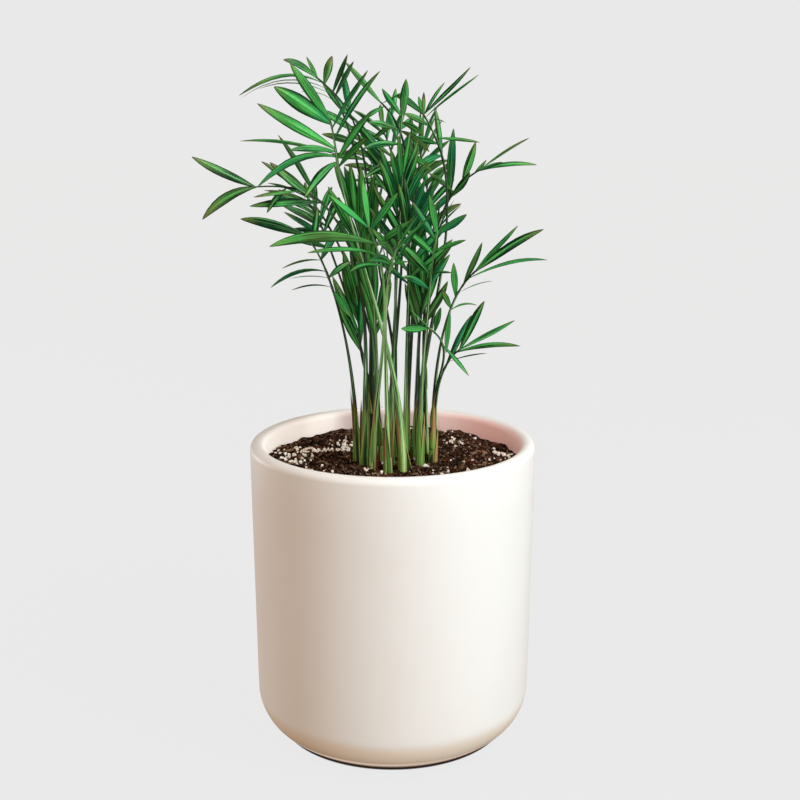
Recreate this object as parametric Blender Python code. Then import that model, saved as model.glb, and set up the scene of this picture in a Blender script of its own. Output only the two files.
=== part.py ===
# A potted parlor palm: a round glazed pot, the potting soil in it, and a tuft of young palm shoots.
# Metres, +Z up. The origin is the centre of the pot's flat underside, and -Y is the front.
# Every shoot is one grown piece: a stem with a sheath at its foot, and the fronds that leave it.

import math
import random

import bmesh
import bpy
from mathutils import Matrix, Vector, noise
from mathutils.bvhtree import BVHTree

MM = 0.001
UP = Vector((0, 0, 1))

# Finishes: colour and roughness
GLAZE = ((0.86, 0.80, 0.75), 0.35)
EARTH = ((0.060, 0.034, 0.022), 0.95)
LEAF_GREEN = ((0.045, 0.20, 0.040), 0.45)

# Pot
POT_HEIGHT = 0.160
POT_RADIUS = 0.075
POT_LOW_RADIUS = 0.0737
POT_CORNER = 0.024
POT_WALL = 0.0076
POT_FLOOR = 0.008
POT_INNER_CORNER = 0.016
POT_SIDES = 44
CORNER_STEPS = 5
INNER_CORNER_STEPS = 3

# Soil
SOIL_TOP = 0.150
SOIL_GAP = 0.0004
SOIL_RELIEF = 0.0022
SOIL_LUMP_SCALE = 48
SOIL_DIP = 0.001
SOIL_MOUND = 0.0025
SOIL_MOUND_REACH = 0.030
SOIL_LIP_GAP = 0.0005
SOIL_RINGS = (0.016, 0.030, 0.042, 0.052, 0.060)
SOIL_SIDES = 32
GRAIN_COUNT = 16
GRAIN_RADIUS = (0.0014, 0.0032)
GRAIN_REACH = 0.058
GRAIN_CLEARANCE = 0.002
GRAIN_STRETCH = ((0.9, 1.4), (0.8, 1.1), (0.6, 0.9))
GRAIN_RISE = 0.2
GRAIN_SEED = 7

# Stems
STEM_SIDES = 5
STALK_STEPS = 6
STALK_PULL = 0.36
NECK_PULL = 0.30
FORK_RISE = 0.5
STALK_TAPER = 1.9
RACHIS_STEPS = 3
RACHIS_PULL = 0.36
TIP_FALL = 0.35
STEM_SINK = 0.016
STEM_STRAIGHT = 0.003
FORK_RADIUS = 0.0012
NECK_RADIUS = 0.0008
TIP_RADIUS = 0.0005
HOLE_CLEARANCE = 0.0006
HOLE_RISE = 0.012
HOLE_SIDES = 6
SHEATH_LENGTH = 0.027
SHEATH_LEAN = 0.07
SHEATH_WIDTH = 0.0038
SHEATH_ROOT = (0.004, 0.010)
SHEATH_SPREAD = (0.8, 1.2)
SHEATH_FOLLOWS = 0.3

# Leaflets
RIB_THICKNESS = 0.0010
FOLD = 0.22
SHORT_REACH = 0.032
LONG_REACH = 0.046
LAST_ROOT = 0.96
FIRST_LEAF = 0.4
LEAST_SIZE = 0.72
SIZE_START, SIZE_RUN = 0.12, 0.9
SPLAY_SPREAD = 5
LIFT = (4, 16)
LENGTH_SPREAD = (0.92, 1.06)
WIDTH_SPREAD = (0.9, 1.1)
DROOP_SPREAD = (0.6, 1.4)
ROOT_WIDTH = 0.06
WIDEST = 0.47
LOWER_FULLNESS, UPPER_FULLNESS = 0.75, 1.1
LEAF_SEED = 100
CLEARANCE = 0.0007
OWN_ROOT = 0.16
TURNS = (0, 8, -8, 15, -15, 23, -23, 32, -32, 42, -42)
SHORTENED = (1.0, 0.8, 0.6)

# Where each shoot stands in the soil: x and y of its foot and its radius there, in millimetres.
FEET = {
    "shoot_01": (-18.5, -9.5, 1.9),
    "shoot_02": (-14.5, -17.0, 2.4),
    "shoot_03": (-9.5, -25.0, 2.2),
    "shoot_04": (-2.0, -29.5, 2.4),
    "shoot_05": (5.5, -26.5, 2.5),
    "shoot_06": (-1.0, -19.5, 2.3),
    "shoot_07": (6.5, -15.0, 1.7),
    "shoot_08": (14.0, -15.5, 2.4),
    "shoot_09": (21.0, -9.0, 2.3),
    "shoot_10": (-7.0, -12.0, 2.3),
    "shoot_11": (-11.5, -4.0, 2.3),
    "shoot_12": (12.0, -5.5, 2.4),
    "shoot_13": (17.5, 1.5, 2.2),
    "shoot_14": (-9.5, 6.0, 2.3),
    "shoot_15": (7.5, 5.5, 1.8),
    "shoot_16": (-1.5, 14.0, 2.3),
    "shoot_17": (12.5, 14.5, 2.1),
    "shoot_18": (1.5, -6.5, 1.8),
}

# One row for each frond, in millimetres. A frond leaves the soil at its shoot's foot, or its
# shoot's first frond at the height fork. Its leaflets grow between neck and tip, and face is the
# way that its upper side looks. blades lists leaflets by hand: how far along the rachis each one
# grows, how far its tip lies to the right, back and up from there, its width, how much it droops
# and how level it lies, from 0 for flat in the frond to 1 for flat to the ground. A frond with no
# such list has a rule: pairs, longest leaflet, width, first angle, last angle and droop.
FRONDS = [
    dict(name="top_left", shoot="shoot_11", neck=(-25, 6, 328), tip=(-38, 10, 345),
         face=(0.1, -0.9, 0.5), blades=[
             (1.00, -17, -4, 9, 3.8, 0.30, 0.1), (1.00, -6, 6, 11, 2.3, 0.05, 0.6),
             (0.80, 4, 4, 14, 4.2, 0.05, 0.0), (0.50, 8, -3, 19, 2.6, 0.05, 0.1),
             (0.40, 10, -8, 17, 2.6, 0.08, 0.1), (0.85, -40, -8, -4, 3.2, 0.60, 0.5),
             (0.60, -46, 8, -4, 2.3, 0.55, 0.8), (0.45, -38, 2, 3, 2.1, 0.42, 0.8),
             (0.20, -18, -14, 6, 2.1, 0.35, 0.8)]),
    dict(name="left_high", shoot="shoot_05", neck=(-25, -34, 300), tip=(-29, -38, 325),
         face=(0, -1, 0.1), blades=[
             (1.00, -18, -5, 26, 4.8, 0.02, 0.0), (0.95, -26, -10, 18, 7.4, 0.00, 0.0),
             (0.45, -35, -14, 21, 5.2, 0.05, 0.1), (0.35, -46, 2, 6, 3.0, 0.18, 0.6),
             (0.40, -21, -12, 1, 3.4, 0.20, 0.2), (0.30, -38, -6, -13, 3.6, 0.62, 0.3),
             (0.20, -15, -14, -16, 4.3, 0.50, 0.2), (0.85, 17, 6, 27, 2.6, 0.18, 0.4),
             (0.65, 22, -4, 31, 2.8, 0.20, 0.4), (0.25, 17, -12, 22, 3.7, 0.10, 0.1),
             (0.10, 14, -16, 14, 3.3, 0.20, 0.2)]),
    dict(name="left_mid", shoot="shoot_02", neck=(-33, -10, 282), tip=(-69, -14, 292),
         face=(0.1, -0.8, 0.6), blades=[
             (1.00, -30, -6, 15, 5.4, 0.00, 0.0), (1.00, -25, -12, -15, 5.8, 0.52, 0.2),
             (0.30, -23, 2, 16, 3.5, 0.10, 0.2), (0.20, -21, -6, 18, 5.4, 0.05, 0.0),
             (0.40, -22, -14, -2, 3.0, 0.15, 0.4), (0.10, -34, -10, -1, 5.4, 0.20, 0.2),
             (0.60, -10, -9, -14, 3.1, 0.35, 0.1), (0.10, -21, 8, 33, 3.1, 0.10, 0.2)]),
    dict(name="left_low", shoot="shoot_01", neck=(-29, -20, 240), tip=(-43, -27, 271),
         face=(0.3, -0.9, 0.4), blades=[
             (0.10, -20, -4, -1, 2.3, 0.40, 0.8), (0.25, -20, 4, -1, 2.1, 0.25, 0.9),
             (0.35, -27, -8, -7, 3.0, 0.55, 0.6), (0.55, -20, 6, -5, 3.1, 0.35, 0.7),
             (1.00, -31, -4, 8, 5.2, 0.08, 0.0), (0.25, 11, 8, 7, 3.5, 0.20, 0.2),
             (0.05, 9, -3, -13, 3.8, 0.05, 0.1),
             (0.55, 8, 10, 13, 3.8, 0.10, 0.1), (0.80, 2, 8, 18, 3.7, 0.05, 0.1)]),
    dict(name="front_bright", shoot="shoot_03", neck=(-4, -38, 248), tip=(-11, -48, 276),
         face=(0.2, -0.8, 0.6), blades=[
             (0.70, -50, -4, -1, 6.6, 0.35, 0.1), (0.50, -33, -12, 2, 3.3, 0.30, 0.4),
             (1.00, -18, -10, 16, 4.0, 0.10, 0.1), (1.00, -3, 2, 22, 4.0, 0.00, 0.0),
             (0.95, 13, -6, 18, 3.8, 0.10, 0.0), (0.65, 16, -12, 13, 3.8, 0.15, 0.1),
             (0.30, -14, -16, -1, 3.5, 0.30, 0.3), (0.25, 13, -16, 5, 3.3, 0.20, 0.3)]),
    dict(name="right_mid", shoot="shoot_09", neck=(29, -17, 231), tip=(42, -21, 252),
         face=(-0.1, -1, 0.3), blades=[
             (0.05, -5, -6, 10, 3.0, 0.00, 0.0), (0.00, 14, 4, 2, 2.3, 0.50, 0.8),
             (0.00, -2, -5, -21, 2.8, 0.00, 0.0),
             (0.30, -1, 4, 17, 3.4, 0.00, 0.0), (0.40, 17, -6, 7, 2.0, 0.25, 0.9),
             (0.60, 9, -4, 22, 3.0, 0.05, 0.0), (0.80, 38, -8, 10, 2.8, 0.28, 0.6),
             (0.95, 22, 6, 23, 2.6, 0.12, 0.1), (1.00, 33, -3, 21, 4.2, 0.14, 0.1)]),
    dict(name="right_low", shoot="shoot_09", fork=20, neck=(26, -20, 201), tip=(34, -26, 213),
         face=(-0.1, -1, 0.3), blades=[
             (0.15, 0, 4, 29, 3.1, 0.02, 0.0), (0.35, 19, -8, 6, 2.0, 0.20, 0.8),
             (0.85, 31, -10, 5, 2.8, 0.25, 0.3), (1.00, 28, 6, 14, 2.7, 0.06, 0.2),
             (1.00, 12, -2, 25, 4.2, 0.02, 0.0)]),
    dict(name="right_front", shoot="shoot_08", neck=(18, -26, 238), tip=(22, -34, 272),
         face=(-0.1, -1, 0.3), blades=[
             (1.00, 14, -4, 10, 3.8, 0.05, 0.1), (0.75, 15, -8, 6, 3.1, 0.05, 0.4),
             (0.40, 10, -8, 1, 2.4, 0.20, 0.6), (1.00, -4, -2, 19, 3.8, 0.00, 0.0),
             (0.90, -12, -6, 18, 4.0, 0.05, 0.0), (0.70, -14, -10, 13, 4.3, 0.08, 0.0),
             (0.35, -15, -12, 17, 4.7, 0.10, 0.0), (0.15, -13, -14, 8, 3.7, 0.20, 0.2),
             (0.20, 10, 6, 15, 3.3, 0.05, 0.1)]),
    dict(name="right_high", shoot="shoot_13", neck=(27, 12, 280), tip=(45, 16, 299),
         face=(-0.2, -1, 0.4), blades=[
             (1.00, 26, -4, 17, 2.6, 0.14, 0.6), (1.00, 31, 4, 3, 3.0, 0.26, 0.3),
             (1.00, 12, -10, 5, 2.4, 0.15, 0.3), (0.90, 7, 8, 7, 2.0, 0.00, 0.3),
             (0.35, -13, -8, 10, 3.0, 0.20, 0.2), (0.15, 0, -4, 37, 4.6, 0.00, 0.0),
             (0.60, 7, 4, 21, 4.2, 0.00, 0.0), (0.25, 9, -12, 13, 4.0, 0.00, 0.0)]),
    dict(name="top_right", shoot="shoot_12", neck=(27, 4, 297), tip=(15, 0, 328),
         face=(0.2, -1, 0.2), blades=[
             (1.00, 23, -5, 23, 2.3, 0.02, 0.3), (0.95, 27, 6, 21, 2.1, 0.15, 0.7),
             (1.00, 11, 12, 16, 2.0, 0.10, 0.7), (1.00, 0, -2, 11, 2.0, 0.00, 0.2),
             (1.00, -2, 6, 10, 2.6, 0.00, 0.0), (1.00, -14, -8, 9, 3.5, 0.25, 0.1),
             (0.90, 9, -10, -1, 2.0, 0.40, 0.8), (0.60, 22, -6, -2, 2.3, 0.12, 0.4),
             (0.25, -4, 3, 26, 3.0, 0.05, 0.1), (0.80, -14, -10, 4, 3.5, 0.20, 0.2),
             (0.50, -15, -12, 2, 3.8, 0.20, 0.1), (0.30, -12, -14, -4, 3.8, 0.25, 0.1)]),
    dict(name="top_centre", shoot="shoot_18", neck=(3, -6, 299), tip=(5, -10, 327),
         face=(0.1, -1, 0.1), blades=[
             (1.00, 2, 0, 18, 4.3, 0.00, 0.0), (1.00, -10, -4, 14, 3.1, 0.05, 0.0),
             (0.90, 11, -8, -6, 3.0, 0.30, 0.1), (0.75, -16, -6, 4, 3.1, 0.20, 0.1),
             (0.75, 14, -10, -10, 3.0, 0.30, 0.1), (0.50, -18, -10, -2, 3.3, 0.25, 0.1),
             (0.40, 16, -6, -10, 3.1, 0.20, 0.1), (0.20, -17, -12, -8, 3.3, 0.25, 0.1),
             (0.10, 13, -14, -12, 3.1, 0.20, 0.1)]),
    dict(name="top_back", shoot="shoot_15", neck=(5, 24, 315), tip=(-6, 18, 333),
         face=(0.2, -0.7, 0.7), blades=[
             (1.00, -19, 2, 21, 4.0, 0.02, 0.0), (1.00, 12, -4, 6, 2.6, 0.10, 0.4),
             (0.90, -11, -6, -7, 3.0, 0.30, 0.2), (0.60, 2, 8, 14, 3.0, 0.00, 0.1),
             (0.75, 5, -8, -15, 3.0, 0.20, 0.2), (0.40, -13, -2, -9, 3.3, 0.20, 0.2),
             (0.20, 8, 8, 7, 3.3, 0.10, 0.2)]),
    dict(name="front_small", shoot="shoot_09", fork=30, neck=(25, -30, 216), tip=(17, -38, 226),
         face=(0.1, -0.8, 0.6), blades=[
             (0.00, 13, -4, -15, 2.4, 0.10, 0.2), (1.00, -13, -2, 0, 4.6, 0.10, 0.0),
             (1.00, -12, 4, 4, 2.4, 0.10, 0.6), (0.80, -13, -8, 11, 2.4, 0.10, 0.6),
             (0.65, 3, -4, 13, 3.0, 0.00, 0.1)]),
    dict(name="top_mid_left", shoot="shoot_14", neck=(-14, 16, 300), tip=(-22, 20, 328),
         face=(0.2, -1, 0.3), blades=[
             (1.00, 18, -8, -21, 2.8, 0.10, 0.2), (0.80, 19, -9, -22, 2.8, 0.08, 0.2),
             (0.60, 18, -8, -22, 2.8, 0.08, 0.2), (0.40, 17, -7, -21, 2.8, 0.06, 0.2),
             (0.15, 16, -8, -20, 2.6, 0.06, 0.2), (1.00, -4, 4, 22, 3.8, 0.00, 0.1),
             (0.90, -15, 2, 20, 4.2, 0.05, 0.1), (0.65, -20, -4, 12, 4.4, 0.12, 0.1),
             (0.40, -20, -2, 6, 4.4, 0.20, 0.2), (0.15, -18, 4, 2, 4.0, 0.25, 0.2)]),
    dict(name="top_mid_right", shoot="shoot_15", neck=(12, 16, 284), tip=(16, 20, 314),
         face=(0.8, -0.5, 0.3), rule=(6, 32, 3.4, 56, 16, 0.15)),
    dict(name="centre_high", shoot="shoot_06", neck=(3, -14, 262), tip=(5, -18, 298),
         face=(0.0, -1.0, 0.2), rule=(6, 33, 3.8, 34, 8, 0.06)),
    dict(name="centre_dark", shoot="shoot_07", neck=(8, -22, 244), tip=(9, -28, 278),
         face=(0.1, -1.0, 0.1), rule=(6, 34, 4.4, 46, 10, 0.05)),
    dict(name="centre_left", shoot="shoot_10", neck=(-13, -5, 247), tip=(-19, -9, 281),
         face=(0.0, -1.0, 0.1), rule=(6, 38, 4.8, 24, 6, 0.00)),
    dict(name="low_left", shoot="shoot_11", fork=26, neck=(-16, -4, 206), tip=(-18, -6, 242),
         face=(0.4, -0.9, 0.1), rule=(5, 35, 4.6, 20, 8, 0.00)),
    dict(name="low_centre", shoot="shoot_10", fork=26, neck=(-8, -16, 214), tip=(-10, -20, 246),
         face=(-0.5, -0.9, 0.1), rule=(5, 36, 4.6, 24, 8, 0.00)),
    dict(name="back_left", shoot="shoot_14", fork=50, neck=(-30, 26, 262), tip=(-50, 44, 286),
         face=(0.4, -0.4, 0.9), rule=(6, 34, 3.9, 60, 20, 0.25)),
    dict(name="back_far", shoot="shoot_16", neck=(4, 40, 284), tip=(-6, 56, 320),
         face=(0.1, -0.8, 0.6), rule=(6, 36, 4.1, 60, 20, 0.25)),
    dict(name="back_right", shoot="shoot_17", neck=(17, 36, 262), tip=(19, 54, 290),
         face=(-0.2, -0.6, 0.8), rule=(6, 31, 3.9, 46, 14, 0.22)),
    dict(name="front_lean", shoot="shoot_04", neck=(-2, -52, 246), tip=(4, -72, 272),
         face=(0.0, -0.5, 0.9), rule=(6, 33, 3.9, 56, 16, 0.20)),
    dict(name="left_inner", shoot="shoot_11", fork=45, neck=(-32, 10, 258), tip=(-44, 20, 282),
         face=(0.3, -0.6, 0.8), rule=(5, 30, 3.7, 56, 20, 0.20)),
    dict(name="mid_back", shoot="shoot_16", fork=46, neck=(-8, 34, 250), tip=(-12, 44, 284),
         face=(0.7, 0.5, 0.6), rule=(6, 34, 3.9, 52, 16, 0.12)),
    dict(name="right_inner", shoot="shoot_13", fork=44, neck=(20, 18, 236), tip=(23, 24, 268),
         face=(0.9, -0.2, 0.4), rule=(6, 31, 3.9, 30, 10, 0.08)),
    dict(name="low_right", shoot="shoot_12", fork=24, neck=(14, -2, 214), tip=(17, -2, 248),
         face=(-0.2, -1.0, 0.2), rule=(5, 34, 4.6, 24, 8, 0.02)),
]


def bezier(a, b, c, d, steps):
    """Points along the cubic curve with the corners a, b, c and d."""
    points = []
    for i in range(steps + 1):
        t = i / steps
        s = 1 - t
        points.append(a * s**3 + b * (3 * s * s * t) + c * (3 * s * t * t) + d * t**3)
    return points


def along(points, t):
    """The point and the direction at the share t of a row of points."""
    place = min(max(t, 0.0), 1.0) * (len(points) - 1)
    i = min(int(place), len(points) - 2)
    step = points[i + 1] - points[i]
    return points[i] + step * (place - i), step.normalized()


def foot_place(shoot):
    """Where a shoot's stem meets the soil."""
    x, y, _ = FEET[shoot]
    return Vector((x * MM, y * MM, SOIL_TOP))


def petiole_and_rachis(frond, trunks):
    """The frond's leaf stalk and its rachis, each as a row of points."""
    neck, tip = Vector(frond["neck"]) * MM, Vector(frond["tip"]) * MM
    foot = foot_place(frond["shoot"])
    if "fork" in frond:
        trunk = trunks[frond["shoot"]]
        start = min(trunk, key=lambda p: abs(p.z - SOIL_TOP - frond["fork"] * MM))
        first = [start]
        leaving = (neck - start).normalized() + UP * FORK_RISE
    else:
        start = foot + UP * STEM_STRAIGHT
        first = [foot - UP * STEM_SINK, start]
        leaving = UP.copy()
    reach = (neck - start).length
    rachis_way = (tip - neck).normalized()
    at_neck = ((neck - start).normalized() + rachis_way).normalized()
    out, back = leaving.normalized() * reach * STALK_PULL, at_neck * reach * NECK_PULL
    stalk = bezier(start, start + out, neck - back, neck, STALK_STEPS)
    length = (tip - neck).length
    outward = Vector((rachis_way.x, rachis_way.y, rachis_way.z - TIP_FALL)).normalized()
    pull = length * RACHIS_PULL
    rachis = bezier(neck, neck + at_neck * pull, tip - outward * pull, tip, RACHIS_STEPS)
    return first + stalk[len(first) - 1 if "fork" not in frond else 1:], rachis


def ruled_leaves(frond, rachis, face, draw):
    """A frond's leaflets by its rule: in pairs that close up towards the rachis's tip."""
    pairs, longest, width, first_angle, last_angle, droop = frond["rule"]
    leaves = []
    for i in range(2 * pairs):
        t = (i + FIRST_LEAF) / (2 * pairs - 1 + FIRST_LEAF)
        root, rachis_way = along(rachis, t * LAST_ROOT)
        normal = (face - rachis_way * face.dot(rachis_way)).normalized()
        size = LEAST_SIZE + (1 - LEAST_SIZE) * math.sin(math.pi * min(t * SIZE_RUN + SIZE_START, 1.0))
        mean_angle = first_angle + (last_angle - first_angle) * t
        splay = math.radians(mean_angle + draw.uniform(-SPLAY_SPREAD, SPLAY_SPREAD))
        lift = math.radians(draw.uniform(*LIFT))
        side = rachis_way.cross(normal) * (1 if i % 2 else -1)
        sideways = side * math.cos(lift) + normal * math.sin(lift)
        way = (rachis_way * math.cos(splay) + sideways * math.sin(splay)).normalized()
        long = longest * size * draw.uniform(*LENGTH_SPREAD) * MM
        wide = width * size * draw.uniform(*WIDTH_SPREAD) * MM
        leaves.append(dict(root=root, way=way, upper=square_to(normal, way), normal=normal,
                           length=long, width=wide, droop=droop * draw.uniform(*DROOP_SPREAD)))
    return leaves


def listed_leaves(frond, rachis, face, draw):
    """A frond's leaflets by its list, each one as long as reaches its tip along its arch."""
    leaves = []
    for t, right, back, up, width, droop, level in frond["blades"]:
        root, rachis_way = along(rachis, t * LAST_ROOT)
        reach = Vector((right, back, up)) * MM
        bend, spare = droop * reach.z, 1 - droop * droop
        length = (bend + math.sqrt(bend * bend + spare * reach.length_squared)) / spare
        way = (reach / length + UP * droop).normalized()
        normal = (face - rachis_way * face.dot(rachis_way)).normalized()
        upper = square_to(face * (1 - level) + UP * level, way)
        leaves.append(dict(root=root, way=way, upper=upper, normal=normal, length=length, width=width * MM,
                           droop=droop))
    return leaves


def square_to(direction, way):
    """The direction, turned to stand square to a way."""
    return (direction - way * direction.dot(way)).normalized()


def turned(leaf, swing, lift, share):
    """The leaflet turned at its root by two angles in degrees, and shortened to a share of its length."""
    turn = Matrix.Rotation(math.radians(swing), 3, leaf["normal"])
    turn = Matrix.Rotation(math.radians(lift), 3, leaf["way"].cross(leaf["normal"]).normalized()) @ turn
    return dict(leaf, way=turn @ leaf["way"], upper=turn @ leaf["upper"], length=leaf["length"] * share,
                width=leaf["width"] * (0.5 + 0.5 * share))


def midrib(leaf, t):
    """The leaflet's midrib at the share t of its length, and the midrib's direction there."""
    sag = UP * leaf["droop"]
    place = leaf["root"] + (leaf["way"] * t - sag * t * t) * leaf["length"]
    return place, (leaf["way"] - sag * (2 * t)).normalized()


def outline(t):
    """Half the leaflet's width at the share t of its length, as a share of its full width."""
    swell = math.sin(math.pi * min(1.0, ROOT_WIDTH + (1 - ROOT_WIDTH) * t))
    return 0.5 * swell ** (LOWER_FULLNESS if t < WIDEST else UPPER_FULLNESS) if t < 1 else 0.0


def inner_stations(leaf):
    """Where a leaflet has its cross-sections: more of them where it is long or arches more."""
    reach = leaf["length"] * (1 + 1.5 * abs(leaf["droop"]))
    if reach < SHORT_REACH:
        return (0.46,)
    return (0.30, 0.66) if reach < LONG_REACH else (0.22, 0.48, 0.76)


def blade_mesh(leaf, start=0.0, extra=0.0):
    """Points and triangles of a leaflet: a folded blade with a raised rib, closed all round."""
    stations = [start] + [t for t in inner_stations(leaf) if t > start]
    points, faces = [], []
    for t in stations:
        place, way = midrib(leaf, t)
        side = way.cross(leaf["upper"]).normalized()
        upper = side.cross(way).normalized()
        half = leaf["width"] * outline(t) + extra
        rib = RIB_THICKNESS + 2 * extra
        points += [place + side * half - upper * (half * FOLD), place + upper * extra,
                   place - side * half - upper * (half * FOLD), place + upper * (extra - rib)]
    points.append(midrib(leaf, 1.0)[0])
    last = len(points) - 1
    faces += [(0, 1, 3), (1, 2, 3)]
    for i in range(len(stations) - 1):
        a, b = 4 * i, 4 * (i + 1)
        for j in range(4):
            k = (j + 1) % 4
            if j in (0, 3):
                faces += [(a + j, b + j, a + k), (a + k, b + j, b + k)]
            else:
                faces += [(a + j, b + j, b + k), (a + j, b + k, a + k)]
    end = 4 * (len(stations) - 1)
    faces += [(end + j, last, end + (j + 1) % 4) for j in range(4)]
    return points, faces


def tube_mesh(points, radii, sides=STEM_SIDES):
    """Points and triangles of a closed tube along a row of points."""
    ring_points, faces = [], []
    side = Vector((1, 0, 0))
    for i, (point, radius) in enumerate(zip(points, radii)):
        way = (points[min(i + 1, len(points) - 1)] - points[max(i - 1, 0)]).normalized()
        side = (side - way * side.dot(way)).normalized()
        other = way.cross(side)
        for j in range(sides):
            angle = 2 * math.pi * j / sides
            ring_points.append(point + side * (math.cos(angle) * radius) + other * (math.sin(angle) * radius))
    for i in range(len(points) - 1):
        for j in range(sides):
            a, b = i * sides + j, i * sides + (j + 1) % sides
            faces += [(a, b, a + sides), (b, b + sides, a + sides)]
    top = (len(points) - 1) * sides
    faces += [(0, j + 1, j) for j in range(1, sides - 1)]
    faces += [(top, top + j, top + j + 1) for j in range(1, sides - 1)]
    return ring_points, faces


def stalk_radii(frond, stalk):
    """The leaf stalk's radius at each of its points, from its foot or fork to its neck."""
    low = FORK_RADIUS if "fork" in frond else FEET[frond["shoot"]][2] * MM
    radii = []
    for i in range(len(stalk)):
        t = i / (len(stalk) - 1)
        radii.append(NECK_RADIUS + (low - NECK_RADIUS) * (1 - t) ** STALK_TAPER)
    return radii


def rachis_radii(rachis):
    """The rachis's radius at each of its points."""
    last = len(rachis) - 1
    return [NECK_RADIUS + (TIP_RADIUS - NECK_RADIUS) * i / last for i in range(last + 1)]


def near(box, other):
    """Whether two boxes, each a lowest and a highest corner, meet."""
    return all(box[0][i] <= other[1][i] and other[0][i] <= box[1][i] for i in range(3))


def box_of(points):
    """The lowest and the highest corner of a row of points."""
    return [tuple(f(p[i] for p in points) for i in range(3)) for f in (min, max)]


def probe(mesh):
    """A mesh as a search tree and its box."""
    points, faces = mesh
    return BVHTree.FromPolygons(points, faces), box_of(points)


def crosses(tried, others):
    """Whether a probe touches any of the others."""
    return any(near(tried[1], other[1]) and tried[0].overlap(other[0]) for other in others)


def lay_out():
    """Every frond's stalk, rachis and leaflets, with each leaflet turned clear of what it would cross."""
    trunks, laid = {}, []
    for frond in FRONDS:
        stalk, rachis = petiole_and_rachis(frond, trunks)
        if "fork" not in frond:
            trunks[frond["shoot"]] = stalk
        laid.append(dict(frond=frond, stalk=stalk, rachis=rachis, leaves=[]))
    wood = []
    for item in laid:
        path = item["stalk"] + item["rachis"][1:]
        radii = stalk_radii(item["frond"], item["stalk"]) + rachis_radii(item["rachis"])[1:]
        item["path"], item["radii"] = path, radii
        wood.append((item, probe(tube_mesh(path, [r + CLEARANCE for r in radii]))))
    blades = []
    for number, item in enumerate(laid):
        draw = random.Random(LEAF_SEED + number)
        face = Vector(item["frond"]["face"]).normalized()
        others = [tree for owner, tree in wood if owner is not item]
        grow = listed_leaves if "blades" in item["frond"] else ruled_leaves
        for leaf in grow(item["frond"], item["rachis"], face, draw):
            placed = clear_leaf(leaf, item, others, blades)
            if placed:
                item["leaves"].append(placed)
                blades.append((item, probe(blade_mesh(placed)), probe(blade_mesh(placed, OWN_ROOT))))
    return laid


def clear_leaf(leaf, item, others, blades):
    """The leaflet as drawn, or turned or shortened as little as clears everything laid out before it."""
    tries = sorted(((abs(swing) + abs(lift), swing, lift) for swing in TURNS for lift in TURNS))
    for share in SHORTENED:
        for _, swing, lift in tries:
            tried = turned(leaf, swing, lift, share)
            whole = probe(blade_mesh(tried, 0.0, CLEARANCE))
            if crosses(whole, others) or crosses(whole, [b for owner, b, _ in blades if owner is not item]):
                continue
            beyond = probe(blade_mesh(tried, OWN_ROOT, CLEARANCE))
            if not crosses(beyond, [b for owner, _, b in blades if owner is item]):
                return tried
    return None


def material(name, colour, roughness):
    """A plain material for one kind of piece."""
    made = bpy.data.materials.new(name)
    made.use_nodes = True
    shader = made.node_tree.nodes["Principled BSDF"]
    shader.inputs["Base Color"].default_value = (*colour, 1)
    shader.inputs["Roughness"].default_value = roughness
    shader.inputs["Metallic"].default_value = 0.0
    return made


def mesh_object(name, points, faces, finish=None):
    """A new object from points and faces."""
    mesh = bpy.data.meshes.new(name)
    mesh.from_pydata([tuple(p) for p in points], [], faces)
    mesh.update()
    made = bpy.data.objects.new(name, mesh)
    bpy.context.scene.collection.objects.link(made)
    if finish:
        mesh.materials.append(finish)
    return made


def turned_object(name, profile, sides, finish):
    """A closed solid turned from a profile of radius and height that starts and ends on the axis."""
    shape = bmesh.new()
    corners = [shape.verts.new((r, 0, z)) for r, z in profile]
    edges = [shape.edges.new(pair) for pair in zip(corners, corners[1:])]
    bmesh.ops.spin(shape, geom=corners + edges, cent=(0, 0, 0), axis=(0, 0, 1), angle=2 * math.pi,
                   steps=sides, use_merge=True)
    bmesh.ops.remove_doubles(shape, verts=shape.verts, dist=1e-6)
    bmesh.ops.recalc_face_normals(shape, faces=shape.faces)
    mesh = bpy.data.meshes.new(name)
    shape.to_mesh(mesh)
    shape.free()
    mesh.materials.append(finish)
    made = bpy.data.objects.new(name, mesh)
    bpy.context.scene.collection.objects.link(made)
    return made


def arc(centre_r, centre_z, radius, start, end, steps):
    """Profile points on a round corner, from one angle in degrees to another."""
    angles = [math.radians(start + (end - start) * i / steps) for i in range(steps + 1)]
    return [(centre_r + radius * math.cos(a), centre_z + radius * math.sin(a)) for a in angles]


def joined(base, tools, operation):
    """base after one Boolean with every tool, which are then removed."""
    group = bpy.data.collections.new("tools")
    bpy.context.scene.collection.children.link(group)
    for tool in tools:
        bpy.context.scene.collection.objects.unlink(tool)
        group.objects.link(tool)
    step = base.modifiers.new("join", "BOOLEAN")
    step.operation = operation
    step.operand_type = "COLLECTION"
    step.collection = group
    step.solver = "MANIFOLD"
    bpy.context.view_layer.update()
    graph = bpy.context.evaluated_depsgraph_get()
    result = bpy.data.meshes.new_from_object(base.evaluated_get(graph))
    base.modifiers.remove(step)
    base.data = result
    for tool in tools:
        bpy.data.objects.remove(tool)
    bpy.data.collections.remove(group)
    return base


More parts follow.
